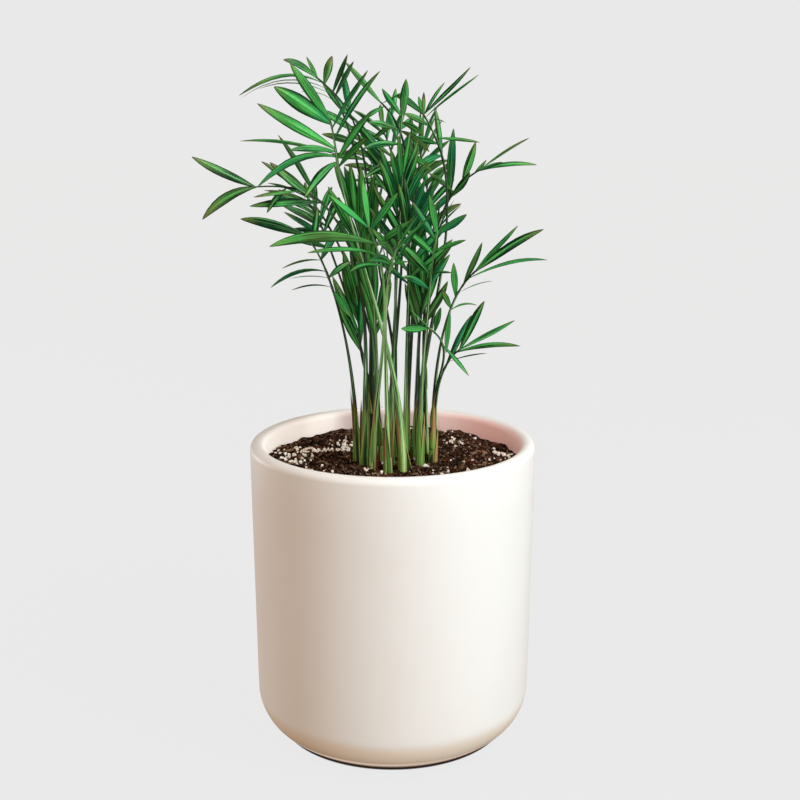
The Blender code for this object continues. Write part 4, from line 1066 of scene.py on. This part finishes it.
def sheathShell(centre, radius, length, out, wrap, looks, parts):
    # a pointed scale that wraps a stem: centre and radius give the stem at each share of its length
    s = sheathSizes
    rows, columns = s["rows"], s["columns"]
    points, faces, info = parts
    first = len(points)
    for layer in (s["wall"], 0.0):
        for i in range(rows + 1):
            t = i / rows
            middle, way = centre(t)
            ahead = squareTo(out, way)
            aside = way.cross(ahead)
            half = wrap * (1 - t ** s["pointed"]) ** s["rounded"] + s["tipAngle"]
            reach = radius(t) + s["gap"] + layer * (1 - s["thinning"] * t)
            for j in range(columns + 1):
                across = 2 * j / columns - 1
                angle = half * across
                points.append(middle + ahead * (math.cos(angle) * reach) + aside * (math.sin(angle) * reach))
                addRow(info, across, t, t * length * 100, *looks)
    wide = columns + 1
    inner = first + (rows + 1) * wide
    for i in range(rows):
        for j in range(columns):
            a, b = first + i * wide + j, inner + i * wide + j
            faces += [(a, a + 1, a + wide + 1, a + wide), (b, b + wide, b + wide + 1, b + 1)]
        a, b = first + i * wide, inner + i * wide
        faces.append((a, a + wide, b + wide, b))
        a, b = a + columns, b + columns
        faces.append((a, b, b + wide, a + wide))
    for j in range(columns):
        faces.append((first + j, inner + j, inner + j + 1, first + j + 1))
        a, b = first + rows * wide + j, inner + rows * wide + j
        faces.append((a, a + 1, b + 1, b))


def level(angle):
    return Vector((math.cos(angle), math.sin(angle), 0))


def addScale(item, name, parts):
    # the scale that the solid also has, at the stem's foot
    s = sheathSizes
    draw = random.Random(name)
    root = item["stalk"][1] + up * draw.uniform(*s["scaleFoot"])
    out = level(draw.uniform(0, 2 * math.pi))
    way = (pointAlong(item["stalk"], s["scaleFollows"])[1] + out * growth["sheathLean"]).normalized()
    length = growth["sheathLength"] * draw.uniform(*s["scaleSpread"])
    wide = feet[name][2] * mm
    looks = scaleLooks.get(name, [draw.uniform(*span) for span in s["scaleTints"]])
    sheathShell(lambda t: (root + way * (length * t - s["below"] * (1 - t)), way),
                lambda t: wide * (1 - s["scaleTaper"] * t), length, out, s["scaleWrap"], looks, parts)


def followStem(item, out, length, gap, lean, wrap, looks, parts):
    # a sheath that follows its stem up from the soil
    rows = [item["stalk"][0] + up * sheathSizes["below"]]
    rows += bezier(*item["stalkCorners"], sheathSizes["followSteps"])
    high = length / (rows[-1] - rows[0]).length
    begin, share = sheathSizes["stemThinning"]
    sheathShell(lambda t: pointAlong(rows, high * t),
                lambda t: fineRadius(item["frond"], begin + high * t * share) + gap + lean * t,
                length, out, wrap, looks, parts)


def addWrap(item, name, parts):
    # a long green sheath round each stem
    s = sheathSizes
    draw = random.Random(name + " wrap")
    length = draw.uniform(*s["wrapLength"])
    out = level(draw.uniform(0, 2 * math.pi))
    looks = [draw.uniform(*span) for span in s["wrapTints"]]
    followStem(item, out, length, s["wrapGap"], 0.0, s["wrap"], looks, parts)


def addHusk(item, husk, parts):
    facing, length, lean, wrap, looks = husk
    followStem(item, level(math.radians(facing)), length, sheathSizes["huskGap"], lean, wrap, looks, parts)


def addForkSheath(item, trunk, parts):
    # where a leaf stalk leaves its stem, the sheath that both come out of
    s = sheathSizes
    draw = random.Random(item["frond"]["name"] + " fork")
    start, leaving = item["stalkCorners"][0], item["stalkCorners"][1] - item["stalkCorners"][0]
    out = Vector((leaving.x, leaving.y, 0.0001)).normalized()
    steps = s["followSteps"]
    rows = bezier(*trunk["stalkCorners"], steps)
    at = min(range(steps + 1), key=lambda i: (rows[i] - start).length) / steps
    share = s["forkLength"] / (rows[-1] - rows[0]).length
    low = at - share * s["forkBelow"]
    begin, rest = s["forkThinning"]
    looks = [draw.uniform(*span) for span in s["forkTints"]]
    sheathShell(lambda t: pointAlong(rows, low + share * s["forkStretch"] * t),
                lambda t: fineRadius(trunk["frond"], begin + (low + share * t) * rest) + s["forkLean"] * t,
                s["forkLength"], out, s["forkWrap"], looks, parts)


for name, items in shootItems.items():
    parts = ([], [], newColumns("across along span tint age"))
    addScale(items[0], name, parts)
    addWrap(items[0], name, parts)
    if name in husks:
        addHusk(items[0], husks[name], parts)
    for item in items[1:]:
        addForkSheath(item, items[0], parts)
    sheaths = newObject(name + "_sheaths", parts[0], [], parts[1], parts[2])
    sheaths.data.materials.append(sheathSkin)
    sheaths.data.shade_smooth()
    settle(sheaths, name)
print("sheaths wrapped")


# soil

soilSizes = dict(
    low=0.0084, cornerRadius=0.016, cornerSteps=6, wallRadius=0.0657, topRadius=0.0669, rings=64, sectors=176,
    ringCrowding=0.8, dip=0.001, mound=0.0025, moundReach=0.030, relief=0.0022, reliefScale=48, lumps=0.0015,
    lumpScale=170, crumbRelief=0.0009, crumbScale=460, bareEdge=0.0022)

soilFinish = dict(
    dark=(0.004, 0.0010, 0.0004), mid=(0.085, 0.038, 0.020), pale=(0.40, 0.28, 0.19),
    damp=(0.008, 0.003, 0.0015), grain=620.0, pits=0.5, midAt=(0.42, 0.66), paleSize=1100.0,
    paleAt=(0.60, 0.70), dampSize=90.0,
    dampAt=(0.45, 0.62), dampShare=0.4, roughness=(0.3, 0.7, 0.95, 0.72), relief=0.0009)


def soilHeight(x, y):
    s = soilSizes
    mound = s["mound"] * math.exp(-((x * x + y * y) / s["moundReach"]**2))
    return soilLevel - s["dip"] + mound + s["relief"] * noise.noise(Vector((x, y, 0)) * s["reliefScale"])


def fineSoilPoint(x, y):
    s = soilSizes
    place = Vector((x, y, 0.3))
    height = soilHeight(x, y) + s["lumps"] * noise.noise(place * s["lumpScale"])
    return Vector((x, y, height + s["crumbRelief"] * noise.noise(place * s["crumbScale"])))


def makeSoilSkin():
    made, tree = newMaterial("soilSkin", Specular_IOR_Level=0.04)
    s = soilFinish
    place = objectPlace(tree)
    grain = grainAt(place, s["grain"], s["pits"])
    damp = noiseAt(place, s["dampSize"], 3.0)
    colour = mixColour(spread(grain["Mask"], *s["midAt"]), s["dark"], s["mid"])
    colour = mixColour(spread(noiseAt(place, s["paleSize"], 2.0), *s["paleAt"]), colour, s["pale"])
    colour = mixColour(spread(damp, *s["dampAt"]) * s["dampShare"], colour, s["damp"])
    setShader(tree, Base_Color=colour, Roughness=spread(damp, *s["roughness"]),
              Normal=bump(grain["Height"], s["relief"]))
    return made


def cornerArc(centreR, centreZ, radius, start, end, steps):
    # radius and height of each point on an arc, which runs from start to end in degrees
    angles = [math.radians(start + (end - start) * i / steps) for i in range(steps + 1)]
    return [(centreR + radius * math.cos(a), centreZ + radius * math.sin(a)) for a in angles]


def soilTop():
    # the loose surface as a polar net, closed at its middle
    rings, sectors = soilSizes["rings"], soilSizes["sectors"]
    points, faces = [fineSoilPoint(0, 0)], []
    for i in range(1, rings + 1):
        radius = soilSizes["topRadius"] * (i / rings) ** soilSizes["ringCrowding"]
        for j in range(sectors):
            angle = 2 * math.pi * (j + 0.5 * (i % 2)) / sectors
            points.append(fineSoilPoint(radius * math.cos(angle), radius * math.sin(angle)))
    faces += [(0, 1 + j, 1 + (j + 1) % sectors) for j in range(sectors)]
    for i in range(rings - 1):
        low, high = 1 + i * sectors, 1 + (i + 1) * sectors
        for j in range(sectors):
            k = (j + 1) % sectors
            if i % 2:
                faces += [(low + j, high + j, high + k), (low + j, high + k, low + k)]
            else:
                faces += [(low + j, high + j, low + k), (low + k, high + j, high + k)]
    return points, faces


def soilBody():
    # the same surface with the sides and the round bottom that fill the pot
    s = soilSizes
    points, faces = soilTop()
    sectors, edge = s["sectors"], len(points) - s["sectors"]
    corner, steps = s["cornerRadius"], s["cornerSteps"]
    profile = cornerArc(s["wallRadius"] - corner, s["low"] + corner, corner, 0, -90, steps)
    shift = 0.5 * (s["rings"] % 2)
    for radius, height in profile:
        first = len(points)
        for j in range(sectors):
            angle = 2 * math.pi * (j + shift) / sectors
            points.append(Vector((radius * math.cos(angle), radius * math.sin(angle), height)))
            k = (j + 1) % sectors
            faces.append((edge + j, first + j, first + k, edge + k))
        edge = first
    points.append(Vector((0, 0, s["low"])))
    faces += [(edge + j, len(points) - 1, edge + (j + 1) % sectors) for j in range(sectors)]
    return points, faces


points, faces = soilBody()
bed = newObject("soil_bed", points, [], faces)
bed.data.materials.append(makeSoilSkin())
bed.data.shade_smooth()
settle(bed, "soil")


# how many shapes loose bits have, how far they are narrowed, and the seeds of what differs between them
scatter = dict(variants=4, stretch=(0.6, 1.0), turnSeed=11, sizeSeed=12, stretchSeed=13, kindSeed=14,
               tintSeed=15)


def scatterTree(name, sizes, variant):
    # loose bits spread over a surface, each a copy of one of a few shapes that variant builds
    tree, given = geometryTree(name, {"Density": 1000.0, "Seed": 1, "Smallest": 0.001, "Largest": 0.002,
                                      "Flatness": 0.7, "Tilt": 3.1, "Sink": 0.0, **sizes})

    def chance(kind, low, high, seed):
        first = {"FLOAT_VECTOR": 0, "FLOAT": 2, "INT": 4}[kind]
        node = addNode(tree, "FunctionNodeRandomValue", {first: low, first + 1: high, "Seed": seed},
                       data_type=kind)
        return next(Wire(tree, socket) for socket in node.outputs if socket.enabled)

    spots = wire(tree, "GeometryNodeDistributePointsOnFaces",
                 {"Mesh": given["Geometry"], "Density": given["Density"] * readNamed(tree, "share"),
                  "Seed": given["Seed"]}, "Points")
    spots = moved(spots, Offset=combine(tree, z=given["Sink"] * -1.0))
    tilt = combine(tree, given["Tilt"], given["Tilt"], math.pi)
    angles = chance("FLOAT_VECTOR", vectorMath("MULTIPLY", tilt, (-1, -1, -1)), tilt, scatter["turnSeed"])
    size = chance("FLOAT", given["Smallest"], given["Largest"], scatter["sizeSeed"])
    stretch = chance("FLOAT", *scatter["stretch"], scatter["stretchSeed"])
    shape = combine(tree, 1.0, stretch, given["Flatness"])
    shapes = tree.nodes.new("GeometryNodeJoinGeometry")
    for i in reversed(range(scatter["variants"])):
        one = wire(tree, "GeometryNodeGeometryToInstance", {0: variant(tree, given, i)})
        feed(tree, shapes.inputs[0], one)
    bits = wire(tree, "GeometryNodeInstanceOnPoints", {
        "Points": spots, "Instance": Wire(tree, shapes.outputs[0]), "Pick Instance": True,
        "Instance Index": chance("INT", 0, scatter["variants"] - 1, scatter["kindSeed"]),
        "Rotation": wire(tree, "FunctionNodeEulerToRotation", {0: angles}), "Scale": scaled(shape, size)})
    bits = storeNamed(bits, "tint", chance("FLOAT", 0.0, 1.0, scatter["tintSeed"]), domain="INSTANCE")
    return endGeometry(tree, bits, given["Material"])


def wobble(tree, shift, *noiseValues):
    # a soft push, other at each place and for each shift
    push = noiseAt(vectorMath("ADD", pointPlace(tree), shift), *noiseValues, output=1)
    return vectorMath("SUBTRACT", push, (0.5, 0.5, 0.5))


def lumpShape(tree, given, i):
    ball = wire(tree, "GeometryNodeMeshIcoSphere", {"Radius": 1.0, "Subdivisions": given["Facets"]})
    push = wobble(tree, (7.3 * i + 1.7, 3.1 * i, -2.9 * i), 1.5, 3.0, 0.7)
    return moved(ball, Offset=scaled(push, given["Lumpiness"]))


def strandShape(tree, given, i):
    line = wire(tree, "GeometryNodeCurvePrimitiveLine", {"Start": (-0.5, 0, 0), "End": (0.5, 0, 0)})
    line = wire(tree, "GeometryNodeResampleCurve", {"Curve": line, "Count": 7})
    push = wobble(tree, (5.3 * i + 1.1, 2.7 * i, 0.4), 2.2, 1.0, 0.5)
    line = moved(line, Offset=vectorMath("MULTIPLY", push, (0.2, 0.9, 0.35)))
    return drawnAlong(line, circle(tree, 4, given["Thickness"]))


lumpTree = scatterTree("looseLumps", {"Lumpiness": 0.9, "Facets": 1}, lumpShape)
strandTree = scatterTree("looseStrands", {"Thickness": 0.05}, strandShape)

# where perlite lies thick in the photograph: x, y, reach in millimetres and how thick
perliteSpots = [(-56, 3, 4, 1.0), (-52, -6, 4, 0.9), (-48, 13, 5, 1.0), (-43, 9, 4, 0.8), (-44, -21, 3, 0.5),
                (-31, 13, 5, 1.0), (-27, 10, 3, 0.8), (-25, 28, 5, 1.0), (-19, 26, 3, 0.8), (-18, 43, 3, 0.8),
                (30, 34, 3, 0.9), (36, 34, 3, 0.8), (60, 7, 4, 1.0), (-6, -12, 5, 0.2), (17, -18, 5, 0.12),
                (-13, -27, 4, 0.3), (40, -25, 9, 0.06), (10, 50, 10, 0.15), (-35, -28, 9, 0.12)]

# loose bits by kind: what their tree takes, then their look from dark to pale, their stain, and a glow, which
# is painted light on the perlite
looseBits = {
    "soil_crumbs": dict(
        tree=lumpTree, Density=520000.0, Seed=3, Smallest=0.0003, Largest=0.0011, Flatness=0.75, Tilt=3.1,
        Sink=0.0001, Lumpiness=1.1, Facets=1, skin="crumbSkin", dark=(0.004, 0.0010, 0.0004),
        mid=(0.085, 0.038, 0.020), pale=(0.32, 0.20, 0.12), stain=(0.002, 0.0006, 0.0003), staining=0.55,
        grain=900.0, relief=0.0003, pits=0.4, roughness=0.92, glow=0.0),
    "soil_bark": dict(
        tree=lumpTree, Density=26000.0, Seed=5, Smallest=0.0008, Largest=0.0028, Flatness=0.30, Tilt=0.8,
        Sink=-0.0002, Lumpiness=1.2, Facets=1, skin="barkSkin", dark=(0.030, 0.010, 0.005),
        mid=(0.14, 0.048, 0.024), pale=(0.34, 0.20, 0.12), stain=(0.012, 0.004, 0.002), staining=0.55,
        grain=600.0, relief=0.0003, pits=0.2, roughness=0.85, glow=0.0),
    "soil_grit": dict(
        tree=lumpTree, Density=70000.0, Seed=6, Smallest=0.00018, Largest=0.0005, Flatness=0.8, Tilt=3.1,
        Sink=-0.0004, Lumpiness=0.8, Facets=1, skin="gritSkin", dark=(0.30, 0.19, 0.11),
        mid=(0.62, 0.50, 0.38), pale=(0.86, 0.80, 0.70), stain=(0.12, 0.06, 0.03), staining=0.55,
        grain=1500.0, relief=0.0001, pits=0.3, roughness=0.8, glow=0.0),
    "soil_perlite": dict(
        tree=lumpTree, Density=380000.0, Seed=8, Smallest=0.0003, Largest=0.0012, Flatness=0.8, Tilt=3.1,
        Sink=-0.0004, Lumpiness=1.7, Facets=2, skin="perliteSkin", dark=(0.80, 0.64, 0.50),
        mid=(0.96, 0.87, 0.76), pale=(0.98, 0.95, 0.90), stain=(0.05, 0.020, 0.010), staining=0.45,
        grain=1000.0, relief=0.0006, pits=0.9, roughness=0.88, glow=0.38),
    "soil_fibres": dict(
        tree=strandTree, Density=22000.0, Seed=9, Smallest=0.003, Largest=0.011, Flatness=1.0, Tilt=0.35,
        Sink=-0.0004, Thickness=0.035, skin="fibreSkin", dark=(0.040, 0.014, 0.008), mid=(0.20, 0.075, 0.038),
        pale=(0.52, 0.36, 0.22), stain=(0.020, 0.008, 0.004), staining=0.55, grain=600.0, relief=0.0001,
        pits=0.1, roughness=0.8, glow=0.0)}


# where the soft steps in every kind's look lie, and how much its roughness falls over the grain
bitSteps = dict(midAt=(0.1, 0.8), paleAt=(0.7, 1.0), stainAt=(0.38, 0.60), smoothAt=(0.3, 0.7), smoother=0.18)

# how thick each kind lies: least, middle, how far patches change it, and the grit's row at the front
coverage = dict(perlite=0.016, grit=(0.15, 0.4, 1.2), others=(0.1, 0.75, 0.6), patchScale=0.05,
                gritRow=(1.1, -44, 14))


def makeCrumbSkin(s):
    # loose bits of one kind, from dark to pale by each bit's own tint
    made, tree = newMaterial(s["skin"], Specular_IOR_Level=0.06)
    tint = readColumn(tree, "tint")
    grain = grainAt(objectPlace(tree), s["grain"], s["pits"])
    colour = mixColour(spread(tint, *bitSteps["midAt"]), s["dark"], s["mid"])
    colour = mixColour(spread(tint, *bitSteps["paleAt"]), colour, s["pale"])
    stain = spread(grain["Mask"], *bitSteps["stainAt"], s["staining"], 0.0)
    colour = mixColour(stain, colour, s["stain"])
    smoothest = s["roughness"] - bitSteps["smoother"]
    setShader(tree, Base_Color=colour, Normal=bump(grain["Height"], s["relief"]),
              Roughness=spread(grain["Mask"], *bitSteps["smoothAt"], s["roughness"], smoothest))
    # painted light: bits with a glow, the perlite, give off light of their own
    if s["glow"]:
        setShader(tree, Emission_Color=colour, Emission_Strength=s["glow"])
    return made


def shareAt(kind, point):
    # how thick bits of a kind lie at a place, out of their density
    x, y = point.x / mm, point.y / mm
    if math.hypot(point.x, point.y) > soilSizes["topRadius"] - soilSizes["bareEdge"]:
        return 0.0
    if kind == "soil_perlite":
        spots = sum(w * math.exp(-((x - a)**2 + (y - b)**2) / (r * r)) for a, b, r, w in perliteSpots)
        return coverage["perlite"] + spots
    least, middle, change = coverage["grit" if kind == "soil_grit" else "others"]
    share = middle + change * noise.noise(Vector((x, y, 4.0)) * coverage["patchScale"])
    if kind == "soil_grit":
        thickness, row, reach = coverage["gritRow"]
        share += thickness * math.exp(-((y - row) / reach) ** 2)
    return max(least, share)


points, faces = soilTop()
for kind, values in looseBits.items():
    bits = newObject(kind, points, [], faces, {"share": [shareAt(kind, p) for p in points]})
    runTree(bits, values["tree"], {**values, "Material": makeCrumbSkin(values)})
    settle(bits, "soil")
    print(kind, len(bits.data.polygons), "faces")


# pot

potSizes = dict(height=0.160, radius=0.075, lowRadius=0.0737, corner=0.024, wall=0.0076, floor=0.008,
                innerCorner=0.016, sides=160, cornerSteps=14, wallSteps=6, lipSteps=12, innerSteps=6,
                rimDepth=0.02, innerMargin=0.002, floorMargin=0.001, lipTurn=0.45, lipFade=0.5)

# lit, shaded, the glows, stemShade, corner and foot are painted light and shade on the glaze
potFinish = dict(
    glaze=(0.89, 0.885, 0.865), warm=(0.88, 0.865, 0.84), cloudSize=14.0, warmAt=(0.40, 0.66),
    lit=(0.97, 0.89, 0.82), shaded=(0.97, 0.60, 0.59), shadedAt=(-0.03, 0.06), litGlow=(0.385, 0.340, 0.312),
    shadedGlow=(0.225, 0.122, 0.104), stemShade=(0.60, 0.46, 0.42), stemShadeGlow=(0.12, 0.09, 0.08),
    shadeLeft=(-0.042, -0.023), shadeRight=(0.034, 0.012), shadeBack=(0.0, 0.03), corner=(0.70, 0.50, 0.46),
    cornerShadeAt=(0.052, 0.067), foot=(0.89, 0.77, 0.63), footShadeAt=(0.0160, 0.0225, 0.8, 0.0), footShadeWander=0.003,
    speck=(0.42, 0.33, 0.25), speckSize=700.0, speckAt=(0.70, 0.80, 0.0, 0.10), roughness=0.44,
    grainRoughness=0.12, grain=260.0, pits=0.15, relief=0.00003)


def makeGlaze():
    made, tree = newMaterial("potGlaze", Specular_IOR_Level=0.40, Emission_Strength=1.0)
    s = potFinish
    place = objectPlace(tree)
    across, back, height = axes(place)
    cloud = noiseAt(place, s["cloudSize"], 3.0)
    grain = grainAt(place, s["grain"], s["pits"])
    inner = readColumn(tree, "inner")
    # painted light and shade: the inner wall takes a lit colour on its left and a shaded, pinker one on its
    # right
    side = spread(across, *s["shadedAt"])
    # painted shadow: the stems' soft shade on the wall behind them
    shade = spread(across, *s["shadeLeft"]) * spread(across, *s["shadeRight"]) * spread(back, *s["shadeBack"])
    wall = mixColour(shade, mixColour(side, s["lit"], s["shaded"]), s["stemShade"])
    # painted shade: the right end of the inner wall is darker
    wall = mixColour(spread(across, *s["cornerShadeAt"]), wall, s["corner"])
    colour = mixColour(spread(cloud, *s["warmAt"]), s["glaze"], s["warm"])
    colour = mixColour(inner, colour, wall)
    # painted bounce light: the inner walls glow with the light that goes to and fro between them
    glow = mixColour(shade, mixColour(side, s["litGlow"], s["shadedGlow"]), s["stemShadeGlow"])
    # painted shade: the foot turns tan where it curves under, below an edge that wanders a little
    foot = (cloud - 0.5) * s["footShadeWander"] + height
    colour = mixColour(spread(foot, *s["footShadeAt"]), colour, s["foot"])
    colour = mixColour(spread(noiseAt(place, s["speckSize"], 2.0), *s["speckAt"]), colour, s["speck"])
    setShader(tree, Base_Color=colour, Emission_Color=mixColour(inner, (0, 0, 0), glow),
              Roughness=grain["Mask"] * s["grainRoughness"] + s["roughness"],
              Normal=bump(grain["Height"], s["relief"]))
    return made


def turnPot():
    s = potSizes
    lip, inner = s["wall"] / 2, s["lowRadius"] - s["wall"]
    profile = [(0, 0)]
    profile += cornerArc(s["lowRadius"] - s["corner"], s["corner"], s["corner"], -90, 0, s["cornerSteps"])
    (lowR, lowZ), highR, highZ = profile[-1], s["radius"], s["height"] - lip
    shares = [i / s["wallSteps"] for i in range(1, s["wallSteps"])]
    profile += [(lowR + (highR - lowR) * t, lowZ + (highZ - lowZ) * t) for t in shares]
    profile += cornerArc(highR - lip, highZ, lip, 0, 180, s["lipSteps"])
    profile += cornerArc(inner - s["innerCorner"], s["floor"] + s["innerCorner"], s["innerCorner"], 0, -90,
                         s["innerSteps"])
    profile += [(0, s["floor"])]
    shape = bmesh.new()
    corners = [shape.verts.new((r, 0, z)) for r, z in profile]
    edges = [shape.edges.new(pair) for pair in zip(corners, corners[1:])]
    bmesh.ops.spin(shape, geom=corners + edges, cent=(0, 0, 0), axis=(0, 0, 1), angle=2 * math.pi,
                   steps=s["sides"], use_merge=True)
    bmesh.ops.remove_doubles(shape, verts=shape.verts, dist=1e-6)
    bmesh.ops.recalc_face_normals(shape, faces=shape.faces)
    mesh = bpy.data.meshes.new("pot_body")
    shape.to_mesh(mesh)
    shape.free()

    def innerShare(point):
        # 1 on the inner wall and floor, and less towards the top of the lip
        away = math.hypot(point.x, point.y)
        inHollow = away < inner + s["innerMargin"] and point.z > s["floor"] - s["floorMargin"]
        if point.z > s["height"] - s["rimDepth"] or inHollow:
            return bounded((highR - lip * (1 + s["lipTurn"]) - away) / (lip * s["lipFade"]))
        return 0.0

    column = mesh.attributes.new("inner", "FLOAT", "POINT")
    column.data.foreach_set("value", [innerShare(v.co) for v in mesh.vertices])
    mesh.materials.append(makeGlaze())
    mesh.shade_smooth()
    return showMesh("pot_body", mesh)


settle(turnPot(), "pot")
print("pot turned")


# floor, lights and camera

# gap with the contact sizes is a painted shadow on the floor under the pot's edge; floorGlow is painted
# bounce light, held back by a painted shade out to shadeRadius
room = dict(
    floorReach=9.0, floorSides=48, pale=0.815, floorColour=0.02, floorLight=0.55,
    ambient=(0.41, 0.305, 0.225), floorGlow=(0.33, 0.230, 0.150), gap=(0.02, 0.010, 0.006),
    contactShadowRadius=0.0584, contactShadowSoftness=0.0005,
    contactShadowOval=(0.96, 1, 1), shadeRadius=0.0690, shadeSoftness=0.005, wear=0.98, wearSize=3.0,
    roughness=(0.3, 0.7, 0.85, 0.95),
    camera=(0.0039, -0.6283, 0.3278), pitch=13.16, lens=55.3, sensor=36.0)

lights = {
    "key": dict(place=(1.11, -1.00, 0.63), aim=(0, 0, 0.17), size=1.0,
                power=18.2, colour=(0.735, 0.900, 0.985)),
    "front": dict(place=(-0.52, -1.42, 0.55), aim=(0, 0, 0.17), size=1.0,
                  power=4.0, colour=(1.0, 0.84, 0.80)),
    "side": dict(place=(-1.24, 0.87, 0.15), aim=(0, 0, 0.12), size=0.28,
                 power=7.5, colour=(0.88, 0.95, 1.0)),
    "top": dict(place=(0.50, -0.25, 1.05), aim=(0, 0, 0.17), size=0.5,
                power=6.0, colour=(0.93, 0.97, 1.0))}


def cameraSees(tree):
    return wire(tree, "ShaderNodeLightPath", output="Is Camera Ray")


def makeFloor():
    made, tree = newMaterial("paleFloor", Emission_Strength=1.0, Specular_IOR_Level=0.1)
    wear = noiseAt(objectPlace(tree), room["wearSize"], 2.0)
    shade = room["floorColour"]
    # the floor glows as much as makes it as pale as the wall, less in the gap under the pot's edge, where a
    # painted shadow darkens it
    clear = [room["pale"] - shade * (light + room["floorLight"]) for light in room["ambient"]]
    # the painted shadow in the gap is a little wider across than towards the camera
    oval = vectorMath("MULTIPLY", objectPlace(tree), room["contactShadowOval"])
    fromPot = vectorMath("LENGTH", oval, output="Value")

    def beyond(radius, softness, colour):
        return mixColour(spread(fromPot, radius - softness, radius + softness), room["gap"], colour)

    pale = beyond(room["contactShadowRadius"], room["contactShadowSoftness"], clear)
    # painted bounce light: towards the pot the floor glows with floorGlow, held back by a wider painted shade
    # under the pot
    bounced = beyond(room["shadeRadius"], room["shadeSoftness"], room["floorGlow"])
    setShader(tree, Base_Color=mixColour(wear, (shade,) * 3, (shade * room["wear"],) * 3),
              Roughness=spread(wear, *room["roughness"]),
              Emission_Color=mixColour(cameraSees(tree), bounced, pale))
    reach, sides = room["floorReach"], room["floorSides"]
    angles = [2 * math.pi * i / sides for i in range(sides)]
    points = [(math.cos(a) * reach, math.sin(a) * reach, 0) for a in angles]
    floor = newObject("floor", points, [], [tuple(range(sides))])
    floor.data.materials.append(made)


def makeWorld():
    world = bpy.data.worlds.new("studio")
    bpy.context.scene.world = world
    world.use_nodes = True
    tree = world.node_tree
    feed(tree, tree.nodes["Background"].inputs["Color"],
         mixColour(cameraSees(tree), room["ambient"], (room["pale"],) * 3))


def makeLights():
    for name, light in lights.items():
        data = bpy.data.lights.new(name, "AREA")
        data.size, data.energy, data.color = light["size"], light["power"], light["colour"]
        lamp = bpy.data.objects.new(name, data)
        lamp.location = light["place"]
        way = Vector(light["aim"]) - Vector(light["place"])
        lamp.rotation_euler = way.to_track_quat("-Z", "Y").to_euler()
        bpy.context.scene.collection.objects.link(lamp)


def makeCamera():
    data = bpy.data.cameras.new("camera")
    data.lens, data.sensor_width = room["lens"], room["sensor"]
    data.clip_start, data.clip_end = 0.01, 40.0
    camera = bpy.data.objects.new("camera", data)
    camera.location = room["camera"]
    camera.rotation_euler = (math.radians(90 - room["pitch"]), 0, 0)
    bpy.context.scene.collection.objects.link(camera)
    bpy.context.scene.camera = camera


makeFloor()
makeWorld()
makeLights()
makeCamera()
bpy.context.scene.view_settings.view_transform = "Standard"
print("room ready")
